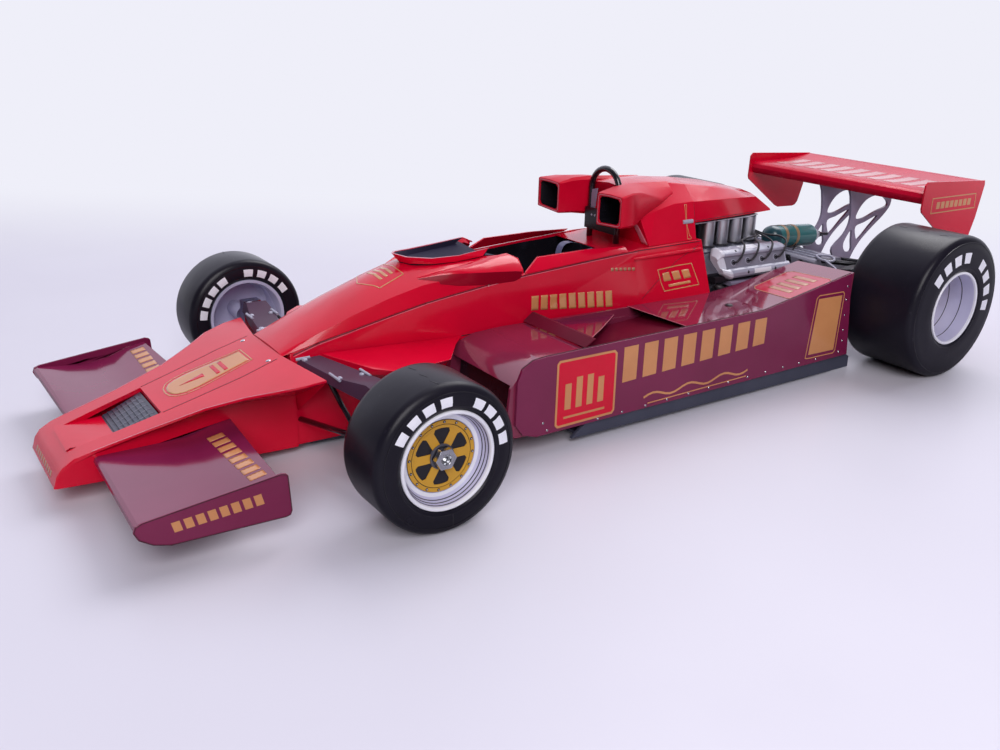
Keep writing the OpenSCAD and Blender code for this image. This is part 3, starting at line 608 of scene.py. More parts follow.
# ------------------------------------------------------------------ the wheels
def lathe(name, prof, C, sg, mats, seg, body, n=96, smooth=32):
    v, f = turned(prof, C, "y", n, sg)
    k = len(prof)
    fm = [seg.get(j, 0) for _ in range(n) for j in range(k)]
    return make(name, v, f, None, body, smooth=smooth, mats=mats, fmats=fm)


def flat_ring(C, sg, h, r0, r1, a0, a1, t=0.12, n=48):
    """Flat arc band facing along the axle."""
    return turned([(r0, h - 0.1), (r1, h - 0.1), (r1, h + t), (r0, h + t)], C, "y", n, sg, a0, a1)


def polar_plate(C, sg, pts, h0, h1):
    """Flat plate from (x, z) points round the wheel's centre."""
    n = len(pts)
    v = [(C.x + x, C.y + sg * h, C.z + z) for h in (h0, h1) for x, z in pts]
    return v, [tuple(range(n)), tuple(range(n, 2 * n))] + [(j, (j + 1) % n, n + (j + 1) % n, n + j) for j in range(n)]


def rotp(pts, deg):
    c, s = math.cos(math.radians(deg)), math.sin(math.radians(deg))
    return [(x * c - z * s, x * s + z * c) for x, z in pts]


def sidewall_marks(tag, C, sg, body, prof, r0, r1, angles, wd):
    """Plain white arc blocks on the sidewall."""
    parts = []
    rs = sorted({r0 + (r1 - r0) * i / 4 for i in range(5)} | {r for r, h in prof if r0 < r < r1})
    crest = max(h for r, h in prof)

    def hh(r):
        for (ra, ha), (rb, hb) in zip(prof, prof[1:]):
            if ra <= r <= rb:
                return ha + (hb - ha) * (r - ra) / (rb - ra)
        return prof[-1][1]
    for a in angles:
        m = 7
        secs = []
        for i in range(m + 1):
            t = math.radians(a - wd / 2 + wd * i / m)
            up = [(r, min(hh(r) + 0.04, crest)) for r in rs]
            dn = [(r, hh(r) - 0.05) for r in reversed(rs)]
            secs.append([(C.x + r * math.cos(t), C.y + sg * h, C.z + r * math.sin(t)) for r, h in up + dn])
        parts.append(loft_data(secs))
    v, f = join_data(parts)
    make(tag, v, f, "white", body, smooth=25)


def build_wheel(tag, Cm, sg, body, front):
    C = Cm * 1000.0
    if front:
        H, face, tip = 10.25, 5.9, 9.95
        prof = [(1.55, -5.65), (3.0, -5.65), (3.0, 4.6), (10.8, 4.6), (12.3, 3.4), (12.45, -8.2), (12.9, -9.6),
                (13.95, -9.85), (13.95, -8.25), (13.3, -7.6), (13.3, 7.6), (13.95, 8.25), (13.95, 9.7), (13.75, 9.95),
                (13.35, 10.02), (12.98, 9.8), (12.86, 9.2), (12.62, 8.2), (12.22, 7.2), (11.72, 6.35), (11.45, 6.0), (10.4, 5.9), (10.3, 5.72),
                (3.0, 5.72), (3.0, 6.0), (2.4, 6.1), (1.55, 6.1)]
        lip = {11: 1, 12: 1, 13: 1, 14: 1, 15: 1, 20: 1}
        tyre_prof = [(14.0, 9.35), (14.9, 10.0), (16.4, 10.25), (18.55, 9.9), (20.15, 9.35), (20.9, 8.35), (21.15, 7.05)]
        R, ro, marks, wd = 21.15, 10.2, [34.5, 52.0, 69.0, 86.5, 121.4, 137.0, 153.0, 169.5], 11.5
        m0, m1 = 15.35, 17.95
        circles = [(12.76, 8.75), (12.45, 7.75), (12.02, 6.85)]
        nut_y = 6.0
    else:
        H, face, tip = 15.75, -0.15, 15.45
        prof = [(1.55, -10.55), (3.0, -10.55), (3.0, -1.3), (11.6, -1.3), (12.6, -2.2), (12.6, -13.5), (13.1, -14.9),
                (14.25, -15.3), (14.25, -13.75), (13.6, -13.15), (13.6, 13.15), (14.25, 13.75), (14.25, 15.2), (14.05, 15.42),
                (13.65, 15.5), (13.3, 15.3), (13.18, 14.6), (12.95, 10.0), (12.6, 5.0), (12.3, 1.4), (12.0, 0.1), (11.4, -0.15), (11.3, -0.3),
                (3.0, -0.3), (3.0, 0.15), (2.4, 0.25), (1.55, 0.25)]
        lip = {11: 1, 12: 1, 13: 1, 14: 1, 15: 1}
        tyre_prof = [(14.3, 14.85), (15.2, 15.5), (16.7, 15.75), (25.1, 15.4), (26.7, 14.85), (27.45, 13.85), (27.7, 12.55)]
        R, ro, marks, wd = 27.7, 11.2, [40, 58, 76, 94, 130, 148, 166, 184], 11.5
        m0, m1 = 17.6, 21.6
        circles = [(12.93, 9.8), (12.56, 4.6)]
        nut_y = 0.2
    node = ("front" if front else "rear") + "_rim_" + tag
    pre = ("front" if front else "rear") + "_wheel_" + tag
    rim = lathe(pre + "_rim", prof, C, sg, ["rim", "lip"], lip, body)
    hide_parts(node)
    # thin printed circles round the barrel
    parts = []
    for r, h in circles:
        parts.append(turned([(r - 0.09, h - 0.11), (r - 0.03, h + 0.13), (r + 0.1, h + 0.13), (r + 0.1, h - 0.11)], C, "y", 96, sg))
    v, f = join_data(parts)
    make(pre + "_barrel_lines", v, f, "ink", body)
    # printed centre: dark ground, gold rings and six spokes
    k = ro / 10.2
    v, f = flat_ring(C, sg, face - 0.12, 3.0, ro, 0, 360, 0.05, 72)
    make(pre + "_centre_ground", v, f, "ink", body)
    gold = [flat_ring(C, sg, face, 8.98 * k, ro - 0.12, 0, 360, 0.04, 72),
            flat_ring(C, sg, face, 8.0 * k, 8.78 * k, 0, 360, 0.04, 72)]
    for i in range(6):
        a = 60 * i + 1
        sp = [(3.05, -1.25), (8.1 * k, -1.25), (8.1 * k, 1.25), (3.05, 1.25)]
        gold.append(polar_plate(C, sg, rotp(sp, a), face - 0.08, face + 0.12))
        # flared foot where the spoke meets the ring
        ft = [(7.0 * k, -1.2), (8.05 * k, -2.3), (8.05 * k, 2.3), (7.0 * k, 1.2)]
        gold.append(polar_plate(C, sg, rotp(ft, a), face - 0.08, face + 0.10))
    v, f = join_data(gold)
    make(pre + "_centre_gold", v, f, "yellow", body)
    # sixteen bolts: dark heads with bright middles
    dk, br = [], []
    for i in range(16):
        t = math.radians(360 * i / 16 + 5)
        p = (C.x + 9.55 * k * math.cos(t), C.y + sg * (face + 0.04), C.z + 9.55 * k * math.sin(t))
        dk.append(dome(p, 0.42, 0.16, (0, sg, 0), 10))
        br.append(dome((p[0], p[1] + sg * 0.13, p[2]), 0.17, 0.10, (0, sg, 0), 8))
    v, f = join_data(dk)
    make(pre + "_bolts", v, f, "ink", body)
    v, f = join_data(br)
    make(pre + "_bolt_middles", v, f, "bright", body)
    # hub collar
    v, f = turned([(1.7, face - 0.2), (3.6, face - 0.2), (3.5, nut_y + 0.45), (3.25, nut_y + 0.55), (3.22, nut_y + 0.12), (1.7, nut_y + 0.12)], C, "y", 48, sg)
    make(pre + "_hub_collar", v, f, "grey", body)
    # sidewall marks on the outer and the inner side
    sidewall_marks(pre + "_marks_outer", C, sg, body, tyre_prof, m0, m1, marks, wd)
    sidewall_marks(pre + "_marks_inner", C, -sg, body, tyre_prof, m0, m1, [180 - a for a in marks], wd)
    # mould lines on the sidewalls and three short slits on the tread
    lines = []
    for s2 in (sg, -sg):
        for r, h in ((tyre_prof[3][0] + 0.35, tyre_prof[3][1] - 0.1), (tyre_prof[1][0] + 0.35, tyre_prof[1][1] + 0.02)):
            lines.append(turned([(r - 0.09, h - 0.1), (r - 0.05, h + 0.1), (r + 0.05, h + 0.1), (r + 0.09, h - 0.1)], C, "y", 96, s2))
    v, f = join_data(lines)
    make(pre + "_mould_lines", v, f, "gloss", body)
    sl = []
    for a0, ys in (((84, (-5.2, 0.6, 6.2)), (264, (-4.0, 3.4))) if front else ((80, (-9, 0, 8)),)):
        for y in ys:
            v1 = []
            for rr in (R - 0.1, R + 0.06):
                for da, dy in ((-1.2, -1.3), (-0.5, -1.1), (1.2, 1.3), (0.5, 1.4)):
                    t = math.radians(a0 + da)
                    v1.append((C.x + rr * math.cos(t), C.y + sg * (y + dy), C.z + rr * math.sin(t)))
            sl.append((v1, [(0, 1, 2, 3), (4, 5, 6, 7), (0, 1, 5, 4), (1, 2, 6, 5), (2, 3, 7, 6), (3, 0, 4, 7)]))
    v, f = join_data(sl)
    make(pre + "_tread_slits", v, f, "ink", body, smooth=0)
    # the glued seam of the sidewall card, low on the wheel
    v1 = []
    for h in (-0.05, 0.03):
        for r in (tyre_prof[1][0] + 0.5, tyre_prof[2][0], tyre_prof[3][0], tyre_prof[4][0]):
            hh = dict((round(a, 3), b) for a, b in tyre_prof).get(round(r, 3), tyre_prof[2][1] - 0.08)
            for da in (-0.13, 0.13):
                t = math.radians(-94)
                v1.append((C.x + r * math.cos(t) + da, C.y + sg * min(hh + h, tyre_prof[2][1]), C.z + r * math.sin(t)))
    f1 = []
    for i in range(3):
        f1.append((2 * i, 2 * i + 1, 2 * i + 3, 2 * i + 2))
        f1.append((8 + 2 * i, 8 + 2 * i + 1, 8 + 2 * i + 3, 8 + 2 * i + 2))
        f1.append((2 * i, 2 * i + 2, 8 + 2 * i + 2, 8 + 2 * i))
        f1.append((2 * i + 1, 2 * i + 3, 8 + 2 * i + 3, 8 + 2 * i + 1))
    f1 += [(0, 1, 9, 8), (6, 7, 15, 14)]
    make(pre + "_seam", v1, f1, "ink", body, smooth=0)


build_wheel("left", FL, 1, "front_left_wheel", True)
build_wheel("right", FR, -1, "front_right_wheel", True)
build_wheel("left", RL, 1, "rear_left_wheel", False)
build_wheel("right", RR, -1, "rear_right_wheel", False)

# ------------------------------------------------------------- printed decoration
# Everything here is plain: bare badges, stripes and rows of blocks.
PY = 54.7
badge = [(47.6, 30.2), (25.6, 29.9), (24.5, 28.8), (24.2, 9.0), (25.2, 7.9), (47.6, 7.7), (48.6, 8.8), (48.6, 29.2)]
side_print("side_badge_ground", [badge], PY, "red", lift=0.05)
side_print("side_badge_border", outline(badge, 0.75), PY, "gold", lift=0.11, thick=0.08)
inner = [(46.2, 26.6), (27.8, 26.4), (27.8, 11.2), (46.2, 11.0)]
side_print("side_badge_bars", [[(45.0 - i * 4.4, 13.4), (42.6 - i * 4.4, 13.4), (42.6 - i * 4.4, 24.4 - abs(i - 1.5) * 1.6), (45.0 - i * 4.4, 24.4 - abs(i - 1.5) * 1.6)] for i in range(4)]
           + [rect(28.6, 10.4, 45.2, 11.1)], PY, "gold", lift=0.11, thick=0.08)
big = []
for i in range(8):
    x0 = 21.6 - i * 8.75
    z1 = 30.0 - i * 0.06
    big.append([(x0, 17.9 + i * 0.24), (x0 - 6.0, 18.1 + i * 0.24), (x0 - 6.0, z1), (x0, z1)])
side_print("side_stripe_blocks", big, PY, "gold")
swash = []
for i in range(26):
    x = 11.5 - i * 2.0
    swash.append((x, 10.6 + 1.0 * math.sin(i * 0.75) + i * 0.02))
side_print("side_wave_line", stroke(swash, 0.75), PY, "gold")
side_print("side_wave_under", stroke([(9.5, 8.2), (-38.0, 8.7)], 0.4), PY, "gold")
patch = [(-70.2, 9.4), (-71.4, 9.0), (-87.0, 8.6), (-88.1, 9.8), (-88.6, 32.4), (-87.6, 33.4), (-73.6, 33.8), (-72.2, 32.8)]
side_print("number_patch", [[(-71.9, 10.6), (-86.8, 10.2), (-87.2, 31.9), (-73.6, 32.3)]], PY, "gold")
side_print("number_patch_line", outline(patch, 0.4), PY, "gold")
riv = [(53.1, 10.7), (51.4, 7.9), (30.9, 7.3), (20.6, 7.5), (10.3, 7.5), (0.5, 7.6), (-9.6, 7.7), (-19.4, 7.9), (-29.2, 8.0), (-39.1, 8.1), (-48.6, 8.2), (-58.2, 8.3),
       (-67.3, 8.2), (-76.9, 8.0), (-90.4, 8.6), (-91.6, 13.0), (-91.2, 17.4), (-90.7, 23.5), (-90.2, 29.6), (-89.9, 35.0)]
v, f = both_data([dome((x, PY, z), 0.42, 0.22, (0, 1, 0), 10) for x, z in riv])
make("side_plate_rivets", v, f, "steel")
# dark fold line along the top of the side plates
top_edge = [(61.4, 30.1), (57.5, 32.05), (53, 32.45), (-44, 32.45), (-91.2, 39.95)]
v, f = both_data([tube([(x, PY - 0.5, z) for x, z in top_edge], 0.16, 6)])
make("side_plate_fold_line", v, f, "line")

# front wings and their endplates
EY = 61.8
band = blocks((168.0, 11.0), (144.6, 12.4), 2.7, 3.0, 8, 0.30, 0.25)
side_print("endplate_blocks", band, EY, "gold")
wing_band = []
for i in range(8):
    y0 = 22.5 + i * 4.45
    wing_band.append([(142.5, y0), (147.0, y0), (147.0, y0 + 3.2), (142.5, y0 + 3.2)])
top_wrap("front_wing_blocks", wing_band, "front_wings", "gold", pair=True)
side_print("endplate_edge", stroke([(175.0, 15.45), (140.7, 19.2), (139.5, 18.8), (139.0, 18.2), (138.4, 8.5), (138.9, 7.4), (140.0, 7.1), (169.0, 7.9), (173.1, 9.15), (176.2, 11.3), (177.2, 13.4), (176.7, 14.8), (175.2, 15.4)], 0.22), EY, "line")

# nose patch, fasteners, folds
np_ = [(151.4, 0), (151.0, 3.2), (149.6, 5.6), (147.0, 7.0), (143.0, 7.4), (134.0, 6.3), (126.0, 5.4), (126.0, -5.4), (134.0, -6.3), (143.0, -7.4), (147.0, -7.0), (149.6, -5.6), (151.0, -3.2)]
top_wrap("nose_patch_line", outline(np_, 0.35), "nose_cone", "gold", lift=0.08)
inn = [(x * 0.93 + 138.4 * 0.07, y * 0.82) for x, y in np_]
top_wrap("nose_patch", [inn], "nose_cone", "gold", lift=0.08)
top_wrap("nose_patch_marks", [[(136.6, -3.6), (135.4, -3.6), (135.4, 3.6), (136.6, 3.6)], [(134.2, -3.6), (133.0, -3.6), (133.0, 3.6), (134.2, 3.6)]]
         + [[(146.8, -0.2), (139.5, -1.3), (139.5, 1.3)]], "nose_cone", "red", lift=0.14)
v, f = join_data([dome((123.3, y, 30.35), 0.75, 0.28, (0.27, 0, 0.96), 14) for y in (-10.3, 10.9)])
make("nose_fasteners", v, f, "steel")
top_wrap("nose_folds", stroke([(155.2, 11.3), (143.7, 12.0), (131.7, 12.9), (121.0, 12.4)], 0.22), "nose_cone", "line", lift=0.06, pair=True)
top_wrap("nose_shoulder_folds", stroke([(176, 15.3), (161, 17.3), (146, 20.5), (136, 25.4), (129, 30.2), (123, 33.0)], 0.24), "nose_cone", "pale", lift=0.05, pair=True)
wrap("nose_lip_marks", blocks((-10.5, 7.9), (10.5, 7.9), 1.6, 1.6, 9, 0.3), "nose_cone", "tan", o=(190, 0, 0), u=(0, 1, 0), w=(0, 0, 1), lift=0.05, step=0.7, far=10)

# tub side
tub_band = []
for i in range(9):
    x0 = 32.6 - i * 3.95
    zb, zt = 34.4 - i * 0.36, 39.4 - i * 0.28
    if i in (0, 4, 5):
        zt += 0.0
    tub_band.append([(x0, zb), (x0 - 2.9, zb - 0.26), (x0 - 2.9, zt - 0.2), (x0, zt)])
side_wrap("tub_side_blocks", tub_band, "monocoque", "gold")
box = [(-23.6, 41.9), (-40.6, 42.5), (-42.6, 34.4), (-26.0, 33.6)]
side_wrap("tub_box_line", outline(box, 0.35), "monocoque", "gold")
side_wrap("tub_box_blocks", [[(-26.0 - i * 4.6, 40.2 + i * 0.1), (-29.4 - i * 4.6, 40.3 + i * 0.1), (-30.1 - i * 4.6, 37.2 + i * 0.1), (-26.8 - i * 4.6, 37.1 + i * 0.1)] for i in range(3)]
          + [[(-28.4, 35.9), (-38.6, 36.4), (-38.8, 35.5), (-28.6, 35.0)]], "monocoque", "gold")
side_wrap("tub_small_blocks", [[(-1.8 - i * 1.9, 45.0 - i * 0.17), (-3.1 - i * 1.9, 44.9 - i * 0.17), (-3.1 - i * 1.9, 43.7 - i * 0.17), (-1.8 - i * 1.9, 43.8 - i * 0.17)] for i in range(6)], "monocoque", "tan")
# joint between the cover and the tub, a pale stroke under it as painted highlight on the fold, the tub's crease and its
# chine line
side_wrap("tub_top_seam", stroke([(116, 31.2), (108.0, 33.75), (96.0, 36.65), (84.0, 39.4), (72.0, 42.0), (62.0, 43.6), (50.0, 45.3), (40.0, 46.55), (35.0, 47.0), (8, 48.6), (-14, 49.7), (-46, 49.7)], 0.28), "monocoque", "line", lift=0.05)
side_wrap("tub_top_highlight", stroke([(116, 30.75), (108.0, 33.35), (96.0, 36.25), (84.0, 39.0), (72.0, 41.6), (62.0, 43.2), (50.0, 44.9), (40.0, 46.15), (35.0, 46.6), (8, 48.2), (-14, 49.3)], 0.16), "monocoque", "pale", lift=0.05)
side_wrap("tub_crease", stroke([(-15.5, 32.2), (-24, 38.0), (-33, 43.6), (-45.5, 48.6)], 0.16), "monocoque", "line", lift=0.05)
side_wrap("tub_chine_line", stroke([(60, 29.6), (38, 30.05), (-14, 30.05), (-46, 30.6)], 0.3), "monocoque", "line", lift=0.06)

# badge on top of the cockpit cover
bd = [(75.2, -7.2), (75.2, 7.2), (84.5, 8.2), (88.4, 0.0), (84.5, -8.2)]
top_wrap("cover_badge_line", outline(bd, 0.35), "cockpit_cover", "gold", lift=0.08)
top_wrap("cover_badge_bars", [[(82.5 - i * 2.1, -4.8 + i * 0.3), (82.5 - i * 2.1, 4.8 - i * 0.3), (81.5 - i * 2.1, 4.8 - i * 0.3), (81.5 - i * 2.1, -4.8 + i * 0.3)] for i in range(3)], "cockpit_cover", "gold", lift=0.08)

# rear wing and its endplates
side_print("rear_endplate_line", outline([(-149.0, 62.2), (-180.8, 61.9), (-181.6, 55.4), (-149.2, 55.6)], 0.45), 46.5, "gold")
side_print("rear_endplate_blocks", blocks((-152.6, 57.4), (-178.4, 57.2), 2.8, 2.8, 8, 0.26), 46.5, "gold")
rw = []
for i in range(10):
    y0 = -38 + i * 8.3
    rw.append([(-151.5, y0), (-151.5, y0 + 5.6), (-171.5, y0 + 5.6), (-171.5, y0)])
top_wrap("rear_wing_blocks", rw, "rear_wing", "tailprint", lift=0.06)
top_wrap("rear_wing_tail_line", stroke([(-184.6, -45), (-184.6, 45)], 0.3), "rear_wing", "pale", lift=0.05)

# label on the pod deck ahead of the rear wheel, with a plain border
lb = [(-62.4, 33.0), (-81.4, 32.2), (-83.4, 34.2), (-83.8, 51.0), (-82.0, 53.0), (-62.0, 53.0), (-60.0, 51.0), (-60.4, 35.0)]
top_wrap("deck_label", [lb], "sidepod_left", "label", lift=0.06, pair=True)
top_wrap("deck_label_line", outline(lb, 0.4), "sidepod_left", "tan", lift=0.12, pair=True)
top_wrap("deck_label_bars", [[(-64.5 - i * 4.4, 38.0), (-67.0 - i * 4.4, 38.0), (-67.0 - i * 4.4, 48.0), (-64.5 - i * 4.4, 48.0)] for i in range(4)], "sidepod_left", "tan", lift=0.12, pair=True)

# --------------------------------------------------------------- more mesh help
def spun(profile, p, d, n=40):
    """Solid turned about any line: profile of (radius, distance along d) points from p, closed loop."""
    P, D = Vector(p), Vector(d).normalized()
    s = D.cross(Vector((0, 1, 0)) if abs(D.y) < 0.9 else Vector((1, 0, 0))).normalized()
    t = D.cross(s)
    v, f = [], []
    for i in range(n):
        a = 2 * math.pi * i / n
        e = s * math.cos(a) + t * math.sin(a)
        v += [tuple(P + D * h + e * r) for r, h in profile]
    k = len(profile)
    for i in range(n):
        o, q = i * k, ((i + 1) % n) * k
        for j in range(k):
            l = (j + 1) % k
            f.append((o + j, o + l, q + l, q + j))
    return v, f


def plate_holes(outer, holes, a, b, plane="xz"):
    """Plate with cut-outs, standing between two heights of the third axis."""
    loops = [outer] + holes
    flat = [p for lp in loops for p in lp]
    tris = tessellate_polygon([[Vector((x, y, 0)) for x, y in lp] for lp in loops])

    def P(u, w, h):
        return {"xz": (u, h, w), "xy": (u, w, h), "yz": (h, u, w)}[plane]
    n = len(flat)
    v = [P(u, w, a) for u, w in flat] + [P(u, w, b) for u, w in flat]
    f = [tuple(t) for t in tris] + [tuple(n + i for i in t) for t in tris]
    o = 0
    for lp in loops:
        m = len(lp)
        f += [(o + j, o + (j + 1) % m, n + o + (j + 1) % m, n + o + j) for j in range(m)]
        o += m
    return v, f


def smooth_loop(pts, k=4):
    """Rounded closed outline through given points (Catmull-Rom)."""
    n = len(pts)
    out = []
    for i in range(n):
        p0, p1, p2, p3 = (Vector(pts[(i + j - 1) % n]) for j in range(4))
        for s in range(k):
            t = s / k
            q = 0.5 * ((2 * p1) + (p2 - p0) * t + (2 * p0 - 5 * p1 + 4 * p2 - p3) * t * t + (3 * p1 - p0 - 3 * p2 + p3) * t ** 3)
            out.append(tuple(q))
    return out


def curve_pts(pts, k=6):
    """Smooth open path through points."""
    P = [Vector(p) for p in pts]
    P = [P[0] * 2 - P[1]] + P + [P[-1] * 2 - P[-2]]
    out = []
    for i in range(1, len(P) - 2):
        p0, p1, p2, p3 = P[i - 1:i + 3]
        for s in range(k):
            t = s / k
            out.append(0.5 * ((2 * p1) + (p2 - p0) * t + (2 * p0 - 5 * p1 + 4 * p2 - p3) * t * t + (3 * p1 - p0 - 3 * p2 + p3) * t ** 3))
    out.append(P[-2])
    return out


def sheet(name, rows, mat, thick=0.08, body="root", smooth=30, offset=0.0):
    """Thin card sheet through rows of points."""
    m, n = len(rows), len(rows[0])
    v = [p for r in rows for p in r]
    f = [(i * n + j, i * n + j + 1, (i + 1) * n + j + 1, (i + 1) * n + j) for i in range(m - 1) for j in range(n - 1)]
    ob = make(name, v, f, mat, body, smooth=smooth)
    so = ob.modifiers.new("sheet", "SOLIDIFY")
    so.thickness = thick * MM
    so.offset = offset
    return ob


def box_data(x0, x1, y0, y1, z0, z1, c=0.0):
    """Box with its long edges chamfered, running along X."""
    sec = [(y0 + c, z0), (y1 - c, z0), (y1, z0 + c), (y1, z1 - c), (y1 - c, z1), (y0 + c, z1), (y0, z1 - c), (y0, z0 + c)]
    return loft_data([[(x, y, z) for y, z in sec] for x in (x0, x1)])


# ------------------------------------------------------------------- the engine
# Eight foil inlet tubes on a dark tray, under a thin card lid
parts, rims_, inside = [], [], []
for sg in (1, -1):
    for i in range(4):
        c = (-61.4 - i * 7.9, sg * 7.0, 0)
        parts.append(turned([(2.92, 43.9), (2.94, 46.0), (2.92, 49.0), (2.94, 52.0), (2.92, 54.0), (2.6, 54.0), (2.6, 43.9)], c, "z", 40, 1))
        rims_.append(turned([(2.9, 43.7), (3.5, 43.7), (3.5, 44.2), (3.2, 44.5), (2.9, 44.5)], c, "z", 32, 1))
        inside.append(turned([(0.0, 44.0), (2.38, 44.0), (2.38, 44.4), (0.0, 44.4)], c, "z", 24, 1))
v, f = join_data(parts)
tubes = make("inlet_tubes", v, f, "foil", smooth=40)
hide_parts("intake_trumpets")
v, f = join_data(rims_)
make("inlet_tube_feet", v, f, "ink", smooth=35)
v, f = join_data([box_data(-90, -51.5, -14.6, 14.6, 43.1, 43.8, 0.2)])
make("inlet_tray", v, f, "slate", smooth=25)
v, f = prism([(-50, -10.6), (-82, -10.0), (-88.4, -8.6), (-88.4, 8.6), (-82, 10.0), (-50, 10.6)], 54.2, 54.55, "xy")
make("inlet_lid", v, f, "bright", bevel=0.06)
# black wall between the two rows of tubes and across their front: painted shade for the dark gaps between the tubes
v, f = join_data([box_data(-90.5, -47.0, -2.6, 2.6, 43.7, 54.2, 0.2), box_data(-47.6, -47.0, -12.5, 12.5, 43.5, 55.8, 0.2)])
make("inlet_gap_shade_wall", v, f, "black", smooth=20)

# Cam covers: a roll along the top, a sunk face with the plug wells and a roll along the bottom
CAM = [(15.3, 42.8), (15.3, 45.0), (15.9, 45.9), (16.8, 46.3), (19.2, 46.0), (20.6, 45.5), (21.5, 44.7), (21.6, 43.9), (20.9, 43.2), (22.7, 39.1),
       (23.6, 39.3), (24.6, 38.8), (25.15, 37.8), (25.1, 36.6), (24.4, 35.7), (23.2, 35.3), (21.2, 35.2)]


def cam_sec(x, k=1.0, dz=0.0):
    cy, cz = 20.6, 40.8
    return [(x, cy + (y - cy) * k, cz + (z - cz) * k + dz) for y, z in CAM]


def cam_loft(xs):
    # the lower roll starts a little further back than the upper one
    return loft_data([[(x - 0.30 * max(0, 43.0 - z) * (1 if i < 3 else 0), y, z) for x, y, z in cam_sec(x0, k, dz)] for i, (x0, k, dz) in enumerate(xs)])


body_ = cam_loft([(-56.6, 1, -0.8), (-60.5, 1, -0.85), (-68, 1, -1.0), (-91.6, 1, -1.6), (-92.6, 0.93, -1.6)])
v, f = both_data([body_])
cc = make("cam_cover_shells", v, f, "silver", bevel=0.12, smooth=30)
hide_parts("cam_covers")
v, f = both_data([cam_loft([(-53.4, 0.62, -1.0), (-55.6, 1.03, -0.8), (-57.0, 1.05, -0.8)])])
make("cam_cover_ends", v, f, "bright", bevel=0.06, smooth=20)
v, f = both_data([loft_data([[(x, y, z + dz) for y, z in ((20.95, 43.3), (21.25, 43.2), (22.95, 39.2), (22.7, 38.9))] for x, dz in ((-57.6, -0.8), (-91.4, -1.6))])])
make("cam_cover_faces", v, f, "midgrey", smooth=20)
wells, collars, leads, screws, labels = [], [], [], [], []
nrm = (0, 0.92, 0.39)
for i, x in enumerate((-61.6, -69.8, -77.8, -86.0)):
    dz = -0.9 - 0.18 * i
    wells.append(spun([(0.0, -0.5), (1.05, -0.5), (1.05, 0.35), (0.75, 0.35), (0.75, -0.1), (0.0, -0.1)], (x, 21.95, 41.2 + dz), nrm, 20))
    collars.append(spun([(1.05, -0.3), (1.45, -0.3), (1.4, 0.12), (1.05, 0.18)], (x, 22.05, 41.2 + dz), nrm, 20))
    path = curve_pts([(x, 22.0, 41.2 + dz), (x - 0.8, 23.6, 42.0 + dz), (x - 3.4, 23.4, 44.4 + dz), (x - 6.6, 21.0, 47.0 + dz), (x - 9.6 + i * 0.8, 16.8, 48.0 + dz), (-84.6 - i * 2.2, 11.6, 46.4), (-88.6 - i * 0.9, 7.6 - i * 0.4, 46.2 + i * 0.2), (-91.6 + i * 0.3, 3.0, 46.4 + i * 0.3)], 6)
    leads.append(tube(path, 0.42, 8))
def sag(x):
    return -0.8 + (x + 56.6) * 0.0232


for x in (-67.6, -83.2):
    screws.append(dome((x, 25.05, 37.7 + sag(x)), 0.6, 0.3, (0, 0.96, 0.28), 12))
for x in (-63.8, -82.6):
    screws.append(dome((x, 20.6, 45.35 + sag(x)), 0.55, 0.28, (0, 0.55, 0.83), 12))
labels.append(loft_data([[(x, y, z + sag(x)) for y, z in ((17.4, 46.2), (20.4, 45.6), (20.42, 45.8), (17.4, 46.42))] for x in (-67.6, -77.0)]))
labels.append(loft_data([[(x, y, z + sag(x)) for y, z in ((24.85, 38.55), (25.2, 37.7), (25.15, 36.9), (25.32, 36.9), (25.4, 37.7), (25.0, 38.7))] for x in (-71.0, -80.6)]))
for nm, data, mt, sl in (("plug_wells", wells, "ink", "black_card"), ("plug_collars", collars, "silver", "silver_card"), ("plug_leads", leads, "ink", "black_gloss"),
                         ("cam_cover_screws", screws, "ink", "black_card"), ("cam_cover_plates", labels, "white", "silver_card")):
    v, f = both_data(data)
    make(nm, v, f, mt, smooth=35)
v, f = join_data([spun([(0, 0), (3.6, 0), (3.9, 0.6), (3.9, 2.6), (3.3, 3.3), (1.6, 3.5), (1.4, 4.3), (0, 4.3)], (-91.4, 0, 43.2), (0, 0, 1), 32)])
make("spark_box", v, f, "gloss", smooth=35)
# the pale bar along the bottom of each head, ribs and dark recess above it
v, f = both_data([loft_data([[(x, y, z + (x + 54) * 0.05) for y, z in ((19.4, 31.9), (23.6, 31.9), (24.2, 32.4), (24.2, 33.2), (23.6, 33.7), (19.4, 33.7))] for x in (-59.5, -64, -76, -86)])])
make("head_bars", v, f, "lilac", bevel=0.08, smooth=25)
v, f = both_data([loft_data([[(x, y, z) for y, z in ((18.5, 33.4), (22.6, 33.4), (22.6, 35.6), (18.5, 35.6))] for x in (-52.0, -92.0)])])
make("head_recess", v, f, "ink", smooth=0)
ribs = []
for i in range(9):
    x = -53.5 - i * 4.6
    ribs.append(prism([(16.6, 30.0), (21.4, 33.5), (21.8, 33.3), (17.6, 28.6)], x, x - 0.7, "yz"))
v, f = both_data(ribs)
make("block_ribs", v, f, "grey", smooth=0)

